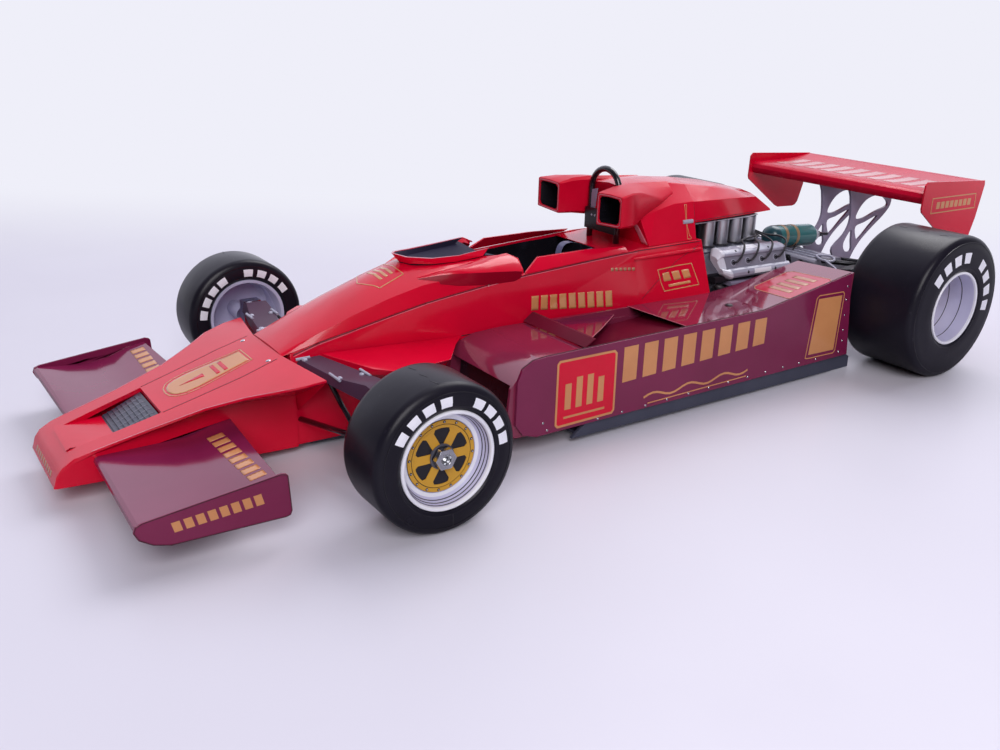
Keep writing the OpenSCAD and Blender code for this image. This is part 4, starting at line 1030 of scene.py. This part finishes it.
# Gearbox furniture: cross beam, light bars, round covers and the forked links
v, f = join_data([loft_data([[(x, y, z) for x, z in ((-108.6, 30.6), (-108.4, 35.2), (-109.3, 36.1), (-125.6, 35.4), (-126.4, 34.6), (-126.4, 30.6))] for y in (-24.0, -12, 0, 12, 24.0)])])
make("gearbox_beam", v, f, "midgrey", bevel=0.2)
bars = []
for x in (-112.2, -116.6, -121.0):
    bars.append(loft_data([[(x, y, 36.15 + (x + 109) * 0.043), (x - 1.0, y, 36.1 + (x + 109) * 0.043), (x - 1.0, y, 36.5 + (x + 109) * 0.043), (x, y, 36.55 + (x + 109) * 0.043)] for y in (-20.5, 20.5)]))
v, f = join_data(bars)
make("gearbox_bars", v, f, "silver", bevel=0.05, smooth=20)
v, f = both_data([loft_data([[(-108.2, y, z) for y, z in ((a, 31.2), (a + 3.4, 31.2), (a + 3.4, 34.8), (a, 34.8))], [(-108.5, y, z) for y, z in ((a, 31.2), (a + 3.4, 31.2), (a + 3.4, 34.8), (a, 34.8))]]) for a in (1.2, 18.9)])
make("gearbox_panels", v, f, "grey", bevel=0.04, smooth=20)
covers_ = []
for y in (-17.5, -10.5, 10.5, 17.5):
    covers_.append(spun([(0, 0), (1.9, 0), (1.9, 0.5), (1.5, 0.5), (1.4, 0.25), (0, 0.25)], (-108.45, y, 33.2), (1, 0, 0), 24))
v, f = join_data(covers_)
make("gearbox_round_covers", v, f, "ink", smooth=35)
ring = curve_pts([(-115.8, 20.8, 36.9), (-117.4, 23.4, 37.0), (-116.8, 26.6, 37.0), (-113.6, 29.8, 36.9), (-111.2, 30.4, 36.8), (-109.8, 28.8, 36.8), (-109.8, 26.0, 36.8), (-112.4, 22.0, 36.9), (-114.4, 20.4, 36.9), (-115.8, 20.8, 36.9)], 4)
fork = [tube(ring, 0.5, 10), loft_data([[(x - 0.75, y - 0.3, z - 0.25), (x + 0.75, y + 0.3, z - 0.25), (x + 0.75, y + 0.3, z + 0.25), (x - 0.75, y - 0.3, z + 0.25)] for x, y, z in ((-110.2, 27.6, 36.8), (-105.2, 36.4, 36.3), (-100.4, 43.8, 35.2))]),
        spun([(0, -0.9), (1.5, -0.9), (1.5, 0.5), (0.9, 0.9), (0, 0.9)], (-100.3, 44.2, 35.0), (0, 0, 1), 24)]
v, f = both_data(fork)
make("fork_links", v, f, "silver", smooth=40)
v, f = join_data([loft_data([[(x, y, z) for y, z in ((-w, h - 0.5), (w, h - 0.5), (w, h + 0.3), (-w, h + 0.3))] for x, w, h in ((-97, 5.6, 34.2), (-108, 4.4, 32.6), (-120, 4.2, 31.2), (-131, 4.4, 30.4))])])
make("gearbox_top_rib", v, f, "midgrey", bevel=0.1)
rb = []
for i in range(7):
    x = -97.5 - i * 8.6
    w = 8.6 - i * 0.55
    rb.append(loft_data([[(x - d, y, z) for y, z in ((-w, 20), (-w - 0.6, 23.6), (-w + 3.0, 31.5 - i * 0.55), (w - 3.0, 31.5 - i * 0.55), (w + 0.6, 23.6), (w, 20))] for d in (0, 0.7)]))
v, f = join_data(rb)
make("gearbox_ribs", v, f, "grey", smooth=0)

# Bottle behind the engine
bp, bd_ = (-105.6, 0, 41.5), (-0.9976, 0, -0.0698)
prof = [(0, 0), (1.9, 0.15), (3.5, 0.9), (4.4, 2.0), (4.75, 3.4), (4.8, 4.6), (4.8, 27.4), (4.5, 28.4), (2.9, 31.6), (1.4, 34.4), (0, 34.4)]
v, f = spun(prof, bp, bd_, 48)
k = len(prof)
fm = [{0: 1, 1: 1, 2: 1, 3: 1, 4: 1, 7: 2, 8: 2, 9: 2}.get(j, 0) for _ in range(48) for j in range(k)]
bot = make("bottle_body", v, f, None, smooth=40, mats=["teal", "tealdark", "midgrey"], fmats=fm)
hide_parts("air_bottle")
v, f = join_data([spun([(4.75, a), (4.9, a), (4.92, a + 0.8), (4.9, a + 1.7), (4.75, a + 1.7)], bp, bd_, 48) for a in (7.6, 14.6)])
make("bottle_bands", v, f, "band", smooth=35)
v, f = join_data([spun([(0, 33.4), (1.0, 33.4), (1.0, 37.2), (0.8, 37.4), (0.8, 41.0), (0, 41.0)], bp, bd_, 20), spun([(0.95, 34.3), (1.5, 34.3), (1.5, 35.3), (0.95, 35.3)], bp, bd_, 6)])
make("bottle_valve", v, f, "gloss", smooth=35)
v, f = join_data([tube(curve_pts([(-109, 3.8, 38.6), (-110, 5.0, 37.0), (-112, 5.6, 36.0)], 5), 0.4, 8), tube(curve_pts([(-121, 3.6, 37.8), (-119, 5.4, 36.4), (-116.5, 6.4, 36.2)], 5), 0.4, 8)])
make("bottle_straps", v, f, "gloss")

# Posts under the rear wing, with their rounded cut-outs
outer = smooth_loop([(-147.6, 61.4), (-148.8, 56.6), (-150.4, 50.0), (-150.6, 44.6), (-147.6, 39.6), (-141.0, 34.6), (-142.4, 30.6), (-148.5, 28.2), (-153.6, 27.0), (-156.6, 31.4), (-161.0, 36.4), (-168.0, 41.6), (-174.6, 46.0), (-178.8, 50.4), (-178.6, 55.6), (-176.4, 60.0), (-175.0, 63.2), (-162.0, 62.0)], 3)
h1 = smooth_loop([(-154.6, 46.4), (-156.2, 50.6), (-160.0, 54.0), (-165.4, 55.6), (-171.4, 55.0), (-175.6, 52.6), (-176.2, 50.2), (-168.6, 48.4), (-160.4, 46.0)], 3)
h2 = smooth_loop([(-155.4, 42.6), (-161.0, 44.0), (-170.4, 46.4), (-165.2, 41.8), (-158.6, 36.4), (-156.2, 38.4)], 3)
h3 = smooth_loop([(-148.4, 36.0), (-152.6, 41.4), (-153.8, 36.4), (-154.6, 31.6), (-150.0, 32.0)], 3)
v, f = both_data([plate_holes(outer, [h1, h2, h3], 7.2, 8.2)])
po = make("rear_wing_plates", v, f, "lilac", smooth=25)
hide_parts("rear_wing_posts")

# ---------------------------------------------------------------- the cockpit
SCR = [(46.6, 9.8, 53.1, 43.6, 8.6, 55.2), (56.4, 8.6, 52.1, 55.4, 8.9, 54.1), (64.4, 6.8, 51.8, 64.8, 7.4, 53.9), (70.6, 3.7, 52.0, 72.2, 4.2, 54.5), (72.8, 0.0, 52.2, 75.3, 0.0, 55.2)]
rows = []
for k in (1, -1):
    for s in (SCR if k == 1 else list(reversed(SCR))[1:]):
        rows.append([(s[0] - 0.25, k * (s[1] - 0.25) if s[1] else 0, s[2] - 0.6), ((s[0] + s[3]) / 2 - 0.25, k * ((s[1] + s[4]) / 2 - 0.25) if s[1] else 0, (s[2] + s[5]) / 2), (s[3] - 0.22, k * (s[4] - 0.22) if s[4] else 0, s[5] - 0.12)])
# dark lining just inside the windscreen: painted shade for the hole behind it
sheet("screen_lining", rows, "well", 0.14, smooth=40)
# dark shroud over the dash under the screen: more painted shade for the hole
rows = [[(x - 0.2, -y, 52.0), (x - 0.2, 0, 51.6), (x - 0.2, y, 52.0)] for x, y in ((72.4, 0.8), (70.4, 3.7), (64.2, 6.8), (56.2, 8.6), (46.6, 9.8), (43.4, 12.0))]
for r, zz in zip(rows, (52.4, 52.3, 52.1, 52.35, 53.2, 53.3)):
    for i, p in enumerate(r):
        r[i] = (p[0], p[1], zz - (1.0 if i == 1 else 0))
sheet("dash_shroud", rows, "well", 0.12, smooth=40)
rows = []
for k in (1, -1):
    for s in (SCR if k == 1 else list(reversed(SCR))[1:]):
        rows.append([(s[3] - 0.05, k * s[4], s[5] - 0.02), (s[3] + 0.55, k * (s[4] + 0.42) if s[4] else 0, s[5] + 0.02)])
sheet("screen_lip", rows, "pale", 0.12, smooth=40)
# black lining of the tub beside the driver
for tag, sg in (("left", 1), ("right", -1)):
    rows = [[(x, sg * yb, 5.0), (x, sg * ym, 30.0), (x, sg * yt, zt)] for x, yb, ym, yt, zt in ((56, 15.2, 16.6, 15.4, 43.6), (36, 15.4, 17.4, 16.9, 46.9), (12, 15.6, 18.6, 17.4, 48.2), (-11.4, 15.8, 20.4, 17.3, 49.2))]
    sheet("tub_lining_" + tag, rows, "black", 0.1, smooth=20)
v, f = prism([(-17.0, 30), (17.0, 30), (17.2, 43.5), (16.6, 45.0), (13.0, 46.4), (6.0, 47.4), (-6.0, 47.4), (-13.0, 46.4), (-16.6, 45.0), (-17.2, 43.5)], -11.9, -9.9, "yz")
make("seat_bulkhead", v, f, "black", bevel=0.4)
# crowned seat back, and the red deck the hoop stands on
arch = [(-17.0, 30)] + [(-17.0 + 34.0 * i / 24, 43.6 + 6.0 * math.sin(math.pi * i / 24) ** 0.6) for i in range(25)] + [(17.0, 30)]
v, f = prism(arch, -4.6, -3.9, "yz")
make("seat_back", v, f, "gloss", bevel=0.2)
rows = [[(x + 0.8 * (1 - (y / w) ** 2), y, z + 0.35 * (1 - (y / w) ** 2)) for y in [w * (j / 6 - 1) for j in range(13)]] for x, w, z in ((-4.6, 17.3, 49.3), (-9.5, 17.6, 49.6), (-14.5, 17.9, 49.9), (-21.6, 17.9, 50.2))]
sheet("cockpit_rear_deck", rows, "red", 0.25, smooth=50)
# harness: two shoulder belts with their buckles
# the belts are a lighter slate-blue than their own dark blue, a painted sheen
belts = []
for sg in (1, -1):
    path = curve_pts([(-4.0, sg * 6.8, 49.0), (-1.0, sg * 7.2, 48.7), (0.6, sg * 7.8, 46.6), (1.6, sg * 7.6, 42.0), (3.0, sg * 6.4, 32.0), (5.6, sg * 3.6, 18.0), (8.8, sg * 1.0, 9.5)], 5)
    secs = []
    for p in path:
        secs.append([(p.x, p.y - 1.5, p.z), (p.x, p.y + 1.5, p.z), (p.x + 0.28, p.y + 1.5, p.z + 0.12), (p.x + 0.28, p.y - 1.5, p.z + 0.12)])
    belts.append(loft_data(secs))
v, f = join_data(belts)
make("harness_belts", v, f, "belt", smooth=30)
v, f = join_data([spun([(0, 0), (1.7, 0), (1.8, 0.3), (1.5, 0.8), (0, 0.9)], (8.6, 0, 9.2), (0.5, 0, 0.86), 20)]
                 + [loft_data([[(2.0 + d, sg * 7.5 + w, 39.0), (1.6 + d, sg * 7.5 + w, 41.2), (2.0 + d, sg * 7.5 + w, 41.3), (2.4 + d, sg * 7.5 + w, 39.0)] for w in (-1.9, 1.9)]) for sg in (1, -1) for d in (0.25,)])
make("harness_buckles", v, f, "steel", smooth=30)
# dials on the dashboard, blank faces with plain pointers
dials, faces, hands = [], [], []
for y, r in ((-7.6, 1.9), (-2.6, 1.5), (2.6, 1.5), (7.6, 1.9)):
    dials.append(spun([(r - 0.35, 0), (r, 0), (r, 0.45), (r - 0.25, 0.6), (r - 0.35, 0.4)], (57.0, y, 44.6), (-1, 0, 0), 24))
    faces.append(spun([(0, 0), (r - 0.33, 0), (r - 0.33, 0.15), (0, 0.15)], (57.0, y, 44.6), (-1, 0, 0), 24))
    hands.append(tube([(56.8, y, 44.6), (56.8, y + 0.5 * r, 44.6 + 0.45 * r)], 0.09, 6))
for nm, data, mt in (("dial_rings", dials, "steel"), ("dial_faces", faces, "ink"), ("dial_hands", hands, "white")):
    v, f = join_data(data)
    make(nm, v, f, mt)
# hoop furniture
v, f = join_data([dome((-11.25, y, 58.9), 0.42, 0.22, (1, 0, 0), 10) for y in (-4.6, -2.8, -1.0, 2.8, 4.6)])
make("hoop_panel_rivets", v, f, "silver")
v, f = prism([(-6.6, 68.0), (-3.7, 68.8), (-5.2, 57.6), (-8.4, 56.9)], -12.95, -12.55, "yz")
make("hoop_strut", v, f, "lilac")
v, f = join_data([spun([(1.1, 0), (1.75, 0), (1.75, 0.9), (1.1, 0.9)], (-13.3, sg * 7.7, z), (0, 0, 1), 20) for sg in (1, -1) for z in (47.3, 56.6)])
make("hoop_collars", v, f, "gloss")
# air boxes: flank and top sweep back into the cover, black inside
def cut(pts, r):
    """Outline with its corners cut; the outer top corner stays crisp."""
    out = []
    n = len(pts)
    for i, p in enumerate(pts):
        a, c = Vector(pts[i - 1]), Vector(pts[(i + 1) % n])
        P = Vector(p)
        if i == 2 and len(pts) == 5 and r < 1.3 and p[0] > 14:
            r_ = min(r, 0.45 if pts[0][0] < 11.2 else r)
        else:
            r_ = r
        out += [tuple(P + (a - P).normalized() * min(r_, (a - P).length * 0.4)), tuple(P + (c - P).normalized() * min(r_, (c - P).length * 0.4))]
    return out


SHELL = [(-0.5, ((11, 59.3), (24, 60.1), (24, 70.7), (17.5, 70.9), (11, 70.5)), 0.3), (-0.9, ((10.9, 59.2), (24.0, 60.0), (24.1, 70.9), (17.5, 71.1), (10.9, 70.7)), 0.5),
         (-7, ((10.4, 58.8), (21.9, 59.3), (22.4, 71.4), (16.6, 72.2), (10.4, 72.0)), 0.9),
         (-13, ((9.4, 58.0), (18.2, 58.3), (20.2, 70.8), (15.0, 72.3), (9.0, 72.4)), 1.2), (-20, ((8, 60.0), (15.9, 61.4), (17.4, 69.0), (13.2, 71.6), (8, 72.4)), 1.2),
         (-28, ((8, 62.0), (14.7, 64.8), (14.5, 66.8), (11.4, 70.2), (8, 72.2)), 0.7), (-36, ((8, 66.0), (12.0, 67.4), (11.6, 68.2), (10.0, 69.9), (8, 71.6)), 0.3)]
MOUTH = [(-0.5, ((12.0, 60.3), (23.0, 61.0), (23.0, 69.8), (17.5, 69.95), (12.0, 69.6)), 1.1), (-0.9, ((12.0, 60.3), (23.0, 61.0), (23.0, 69.8), (17.5, 69.95), (12.0, 69.6)), 1.1)]
THROAT = [(-0.9, ((12.0, 60.3), (23.0, 61.0), (23.0, 69.8), (17.5, 69.95), (12.0, 69.6)), 1.1), (-7, ((11.6, 60.0), (20.8, 60.4), (21.2, 70.4), (16.4, 70.9), (11.6, 70.6)), 1.2), (-12.4, ((11.4, 60.4), (17.2, 60.6), (18.2, 69.6), (15, 70.4), (11.4, 70.4)), 1.2)]
for tag, sg in (("left", 1), ("right", -1)):
    v, f, fm = [], [], []
    chain = [[(x, sg * y, z) for y, z in cut(p, r)] for x, p, r in list(reversed(SHELL)) + MOUTH + THROAT]
    n = len(chain[0])
    for ring_ in chain:
        v += ring_
    for i in range(len(chain) - 1):
        for j in range(n):
            q = (i * n + j, i * n + (j + 1) % n, (i + 1) * n + (j + 1) % n, (i + 1) * n + j)
            f.append(q)
            fm.append(0 if i < len(SHELL) + 1 else 1)
    f += [tuple(range(n)), tuple(len(v) - n + i for i in range(n))]
    fm += [0, 1]
    ob = make("air_box_" + tag, v, f, None, smooth=35, mats=["boxred", "black"], fmats=fm)
    if sg == 1:
        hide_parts("air_intakes")
v, f = both_data([tube([(-0.45, y, z) for y, z in cut(((11.5, 59.8), (23.5, 60.55), (23.5, 70.25), (17.5, 70.4), (11.5, 70.05)), 0.7) + [(11.5, 60.4)]], 0.12, 6)])
make("air_box_lip_lines", v, f, "pale")
# catch on the cover's flank, with a thin gold mark
side_wrap("cover_catch_mark", outline([(-40.9, 63.6), (-39.7, 63.6), (-40.0, 58.0), (-41.2, 52.4), (-42.2, 51.2), (-41.6, 50.9), (-40.4, 51.2), (-40.4, 57.0)], 0.22), "engine_cover", "gold", lift=0.06, step=0.8)
v, f = both_data([loft_data([[(x, 15.4 + dy, 57.3 + dz) for dy, dz in ((0.0, -0.75), (1.15, -0.65), (1.25, 0.0), (1.0, 0.65), (0, 0.75))] for x in (-38.4, -43.4)]),
                  dome((-39.0, 16.5, 57.3), 0.38, 0.25, (0, 1, 0.1), 10), dome((-42.6, 16.5, 57.3), 0.38, 0.25, (0, 1, 0.1), 10)])
make("cover_catches", v, f, "silver", bevel=0.06, smooth=25)
# pale strips on the cover's bent front edge: a painted highlight
wrap("cover_edge_glint", [[(10.6, 58.6), (13.6, 57.6), (17.2, 50.9), (14.0, 50.8)], [(-13.6, 57.6), (-10.6, 58.6), (-14.0, 50.8), (-17.2, 50.9)]], "engine_cover", "pale", o=(20, 0, 0), u=(0, 1, 0), w=(0, 0, 1), lift=0.06, far=10)
side_wrap("cover_seam", stroke([(-45.0, 51.0), (-45.0, 64.0)], 0.25), "engine_cover", "line", lift=0.05)
side_wrap("cowl_foot_line", stroke([(-46, 56.5), (-60, 56.4), (-74, 56.2), (-88, 56.0)], 0.22), "rear_cowl", "line", lift=0.05)

# blisters on the cover's shoulders, with a tucked-in underside painted in darker red as shade
secs = []
for x, a, b, c in ((72.2, (10.6, 49.1), (11.2, 48.9), (11.4, 48.6)), (66.0, (11.6, 49.9), (14.6, 50.0), (15.5, 47.2)), (60.0, (12.2, 51.0), (16.9, 50.3), (16.6, 46.2)), (53.0, (12.8, 52.3), (18.5, 50.1), (17.4, 45.6)),
                    (46.0, (13.2, 53.4), (19.4, 49.7), (18.1, 45.4)), (40.0, (13.5, 54.0), (19.6, 49.2), (18.6, 45.5)), (37.2, (14.2, 52.8), (19.3, 48.7), (18.5, 45.8))):
    k = min(1.0, (72.6 - x) / 8)
    m1 = (a[0] * 0.66 + b[0] * 0.34, a[1] * 0.66 + b[1] * 0.34 + 0.95 * k)
    m2 = (a[0] * 0.25 + b[0] * 0.75 + 0.15 * k, a[1] * 0.25 + b[1] * 0.75 + 0.85 * k)
    secs.append([(x, a[0] - 1.2, a[1] - 1.6), (x, *a), (x, *m1), (x, *m2), (x, *b), (x, *c), (x, c[0] - 1.4, c[1] + 0.2)])
bl = loft_data(secs)
fm = []
for i in range(len(secs) - 1):
    fm += [0, 0, 0, 0, 1, 1, 1]
fm += [0, 0]
for tag, d in (("left", bl), ("right", mirror_data(bl))):
    make("cover_blister_" + tag, d[0], d[1], None, smooth=38, mats=["red", "shade"], fmats=fm)

# fittings on the front rocker arms, and their pivot
v, f = both_data([dome((114.4, 17.2, 31.0), 0.9, 0.55, (0, 0, 1), 14), dome((111.2, 34.4, 30.2), 0.8, 0.6, (0, 0, 1), 14), dome((104.4, 34.6, 30.1), 0.8, 0.6, (0, 0, 1), 14),
                  tube([(112.4, 30.2, 30.5), (112.2, 36.6, 30.4)], 0.45, 8), tube([(103.2, 31.2, 30.4), (103.0, 37.4, 30.4)], 0.45, 8), tube([(116.6, 15.7, 30.9), (112.4, 16.4, 31.2)], 0.5, 8),
                  dome((105.0, 53.5, 28.6), 1.2, 0.8, (0, 0, 1), 16)])
make("rocker_fittings", v, f, "silver", smooth=35)
v, f = both_data([tube([(110.0, 19.0, 28.8), (106.5, 24.0, 18.0), (104.6, 27.0, 12.4)], 0.8, 10), tube([(100.5, 15.6, 24.5), (98.0, 40.0, 24.8), (99.0, 56.2, 27.2)], 0.5, 8)])
make("front_pull_rods", v, f, "gloss")
# deck details: small bump and dots
v, f = both_data([dome((-38.4, 42.8, 31.9), 1.5, 0.7, (0, 0, 1), 16)])
make("deck_bump", v, f, "ink")
v, f = both_data([dome((x, 48.4, 30.9), 0.45, 0.3, (0, 0, 1), 10) for x in (-10.5, -15.1)])
make("deck_dots", v, f, "steel")
# red floor of the nose tray, ahead of the grille
sheet("tray_floor", [[(x, y * w, z) for y in (-1, -0.5, 0, 0.5, 1)] for x, w, z in ((181.2, 8.5, 14.02), (179.95, 8.42, 14.62), (174.0, 9.15, 14.66), (167.7, 9.96, 14.64))], "red", 0.08)
wrap("grille_lines", [rect(156.4, y - 0.09, 166.6, y + 0.09) for y in (-6.4, -3.2, 0, 3.2, 6.4)], "nose_grille", "midgrey", lift=0.12, far=40)

# pod mouths as black sheets just inside the openings, painted shade for the dark intakes; the deck behind the hot air
# outlet and the guide panel beside it
for tag, sg in (("left", 1), ("right", -1)):
    sheet("pod_mouth_shade_" + tag, [[(62.6, sg * 20.2, 9.4), (62.6, sg * 52.4, 9.4)], [(61.0, sg * 20.2, 25.4), (61.0, sg * 52.4, 25.4)]], "black", 0.1)
    sheet("outlet_deck_" + tag, [[(x, sg * y0, z0), (x, sg * (y0 + 53.62) / 2, (z0 + z1) / 2 + 0.05), (x, sg * 53.62, z1)] for x, y0, z0, z1 in ((-7.0, 23.3, 31.12, 31.93), (-26.0, 24.7, 31.22, 31.97), (-46.0, 26.2, 31.42, 32.12))], "podred", 0.2)
    sheet("outlet_guide_" + tag, [[(31.6, sg * 22.6, 30.2), (32.3, sg * 36.5, 31.9), (33.0, sg * 50.4, 33.6)], [(15.8, sg * 23.2, 29.6), (24.4, sg * 36.9, 31.2), (33.0, sg * 50.5, 33.5)], [(-0.1, sg * 23.9, 29.0), (16.4, sg * 37.2, 30.6), (32.9, sg * 50.7, 33.4)]], "maroon", 0.2)
v, f = both_data([tube([(-0.2, 24.0, 29.15), (16.3, 37.3, 30.8), (32.8, 50.8, 33.55)], 0.16, 6), tube([(-7.0, 23.6, 31.3), (-7.0, 53.5, 32.05)], 0.13, 6)])
make("outlet_edges", v, f, "pale")
# dark drums and ducts inboard of the rear wheels
v, f = both_data([spun([(0, 0), (10.2, 0), (11.0, 0.6), (11.0, 3.4), (10.4, 4.0), (0, 4.0)], (-123.5, 42.7, 27.7), (0, 1, 0), 40),
                  loft_data([[(x, y, z) for y, z in ((w, 30), (43.5, 30), (44.5, 33.5), (43.5, 37), (w, 36))] for x, w in ((-106.0, 38.5), (-113.0, 36.5), (-121.5, 36.0))])])
make("rear_drums", v, f, "ink", bevel=0.2, smooth=35)

# ----------------------------------------------------------------- the studio


def studio():
    w = bpy.data.worlds.new("studio")
    SC.world = w
    w.use_nodes = True
    t = w.node_tree
    bg = t.nodes["Background"]
    # a room with a pale wall behind the table and overhead, dim on the side the car is seen from
    tc = t.nodes.new("ShaderNodeTexCoord")
    dt = t.nodes.new("ShaderNodeVectorMath")
    dt.operation = "DOT_PRODUCT"
    dt.inputs[1].default_value = (-0.52, -0.75, 0.42)
    mr = t.nodes.new("ShaderNodeMapRange")
    mr.inputs["From Min"].default_value = -0.45
    mr.inputs["From Max"].default_value = 0.75
    ramp = t.nodes.new("ShaderNodeValToRGB")
    e = ramp.color_ramp.elements
    e[0].color = (0.030, 0.028, 0.036, 1)
    e[1].color = (0.98, 0.98, 1.14, 1)
    e.new(0.45).color = (0.08, 0.075, 0.10, 1)
    e.new(0.70).color = (0.30, 0.29, 0.34, 1)
    e.new(0.84).color = (0.90, 0.90, 1.06, 1)
    t.links.new(tc.outputs["Generated"], dt.inputs[0])
    t.links.new(dt.outputs["Value"], mr.inputs["Value"])
    t.links.new(mr.outputs["Result"], ramp.inputs["Fac"])
    t.links.new(ramp.outputs["Color"], bg.inputs["Color"])
    bg.inputs["Strength"].default_value = 0.95
    # the bare backdrop itself is an even pale wall
    wall = t.nodes.new("ShaderNodeBackground")
    wall.inputs["Color"].default_value = (0.863, 0.863, 0.947, 1)
    lp = t.nodes.new("ShaderNodeLightPath")
    ms = t.nodes.new("ShaderNodeMixShader")
    t.links.new(lp.outputs["Is Camera Ray"], ms.inputs[0])
    t.links.new(bg.outputs[0], ms.inputs[1])
    t.links.new(wall.outputs[0], ms.inputs[2])
    t.links.new(ms.outputs[0], t.nodes["World Output"].inputs["Surface"])

    # pale table top, melting into the even wall behind and far out
    n, R = 64, 4.0
    v = [(0, 0, 0)] + [(r * math.cos(2 * math.pi * i / n), r * math.sin(2 * math.pi * i / n), 0) for r in (0.8, R) for i in range(n)]
    f = [(0, 1 + i, 1 + (i + 1) % n) for i in range(n)] + [(1 + i, n + 1 + i, n + 1 + (i + 1) % n, 1 + (i + 1) % n) for i in range(n)]
    me = bpy.data.meshes.new("floor")
    me.from_pydata(v, [], f)
    fl = bpy.data.objects.new("floor", me)
    SC.collection.objects.link(fl)
    m = Nodes("floor_white")
    lpf = m.new("ShaderNodeLightPath")
    pale = m.mix(m.rng(m.noise(6, 3, 0.5), 0.3, 0.7, 0, 1), (0.67, 0.655, 0.735), (0.65, 0.635, 0.71))
    # seen in reflections the floor is painted darker: a painted shade for the floor in the car's reflections
    m.color(m.mix(lpf.outputs["Is Glossy Ray"], pale, (0.33, 0.32, 0.37)))
    m.link(m.rng(m.noise(18, 3, 0.5), 0.3, 0.7, 0.32, 0.42), m.bsdf.inputs["Roughness"])
    m.link(m.bump(m.noise(700, 2, 0.5), 0.00001, 0.3), m.bsdf.inputs["Normal"])
    m.set(Specular_IOR_Level=0.3)
    em = m.new("ShaderNodeEmission")
    em.inputs["Color"].default_value = (0.863, 0.863, 0.947, 1)
    d1 = m.new("ShaderNodeVectorMath", operation="DOT_PRODUCT")
    d1.inputs[1].default_value = (-0.5717, -0.8204, 0)
    m.link(m.tc.outputs["Object"], d1.inputs[0])
    d2 = m.new("ShaderNodeVectorMath", operation="LENGTH")
    m.link(m.tc.outputs["Object"], d2.inputs[0])
    mx = m.new("ShaderNodeMath", operation="MAXIMUM")
    for i, (sock, lo, hi) in enumerate(((d1.outputs["Value"], 0.10, 0.36), (d2.outputs["Value"], 0.40, 0.72))):
        r = m.new("ShaderNodeMapRange", interpolation_type="SMOOTHSTEP")
        r.inputs["From Min"].default_value = lo
        r.inputs["From Max"].default_value = hi
        m.link(sock, r.inputs["Value"])
        m.link(r.outputs["Result"], mx.inputs[i])
    ms = m.new("ShaderNodeMixShader")
    m.link(mx.outputs[0], ms.inputs[0])
    m.link(m.bsdf.outputs[0], ms.inputs[1])
    m.link(em.outputs[0], ms.inputs[2])
    m.link(ms.outputs[0], m.t.nodes["Material Output"].inputs["Surface"])
    me.materials.append(m.mat)

    def area(name, loc, target, size, power, colour=(1, 1, 1), sy=None):
        li = bpy.data.lights.new(name, "AREA")
        li.shape = "RECTANGLE"
        li.size = size
        li.size_y = sy or size
        li.energy = power
        li.color = colour
        ob = bpy.data.objects.new(name, li)
        SC.collection.objects.link(ob)
        ob.location = loc
        ob.rotation_euler = (Vector(target) - Vector(loc)).to_track_quat("-Z", "Y").to_euler()
        return ob

    area("key", (-0.62, -0.22, 0.90), (0, 0, 0), 0.7, 6.0, (1.0, 0.985, 1.0))
    area("side", (0.62, 1.10, 0.95), (0.0, 0.0, 0.02), 0.9, 17.0, (1.0, 0.97, 1.0))


studio()

# ----------------------------------------------------------------- the camera
cd = bpy.data.cameras.new("cam")
cam = bpy.data.objects.new("cam", cd)
SC.collection.objects.link(cam)
SC.camera = cam
cd.sensor_width = 36.0
cd.lens = 958.2 * 36.0 / 1000.0
cd.clip_start, cd.clip_end = 0.01, 20.0
_a, _e, _r = math.radians(55.1353), math.radians(20.84), math.radians(1.578)
_d = Vector((-math.cos(_e) * math.cos(_a), -math.cos(_e) * math.sin(_a), -math.sin(_e)))
_right = _d.cross(Vector((0, 0, 1))).normalized()
_up = _right.cross(_d)
_rr = _right * math.cos(_r) + _up * math.sin(_r)
_uu = -_right * math.sin(_r) + _up * math.cos(_r)
cam.matrix_world = Matrix((
    (_rr.x, _uu.x, -_d.x, 0.21926), (_rr.y, _uu.y, -_d.y, 0.26930), (_rr.z, _uu.z, -_d.z, 0.12946), (0, 0, 0, 1)))
SC.view_settings.view_transform = "Standard"
SC.view_settings.look = "None"
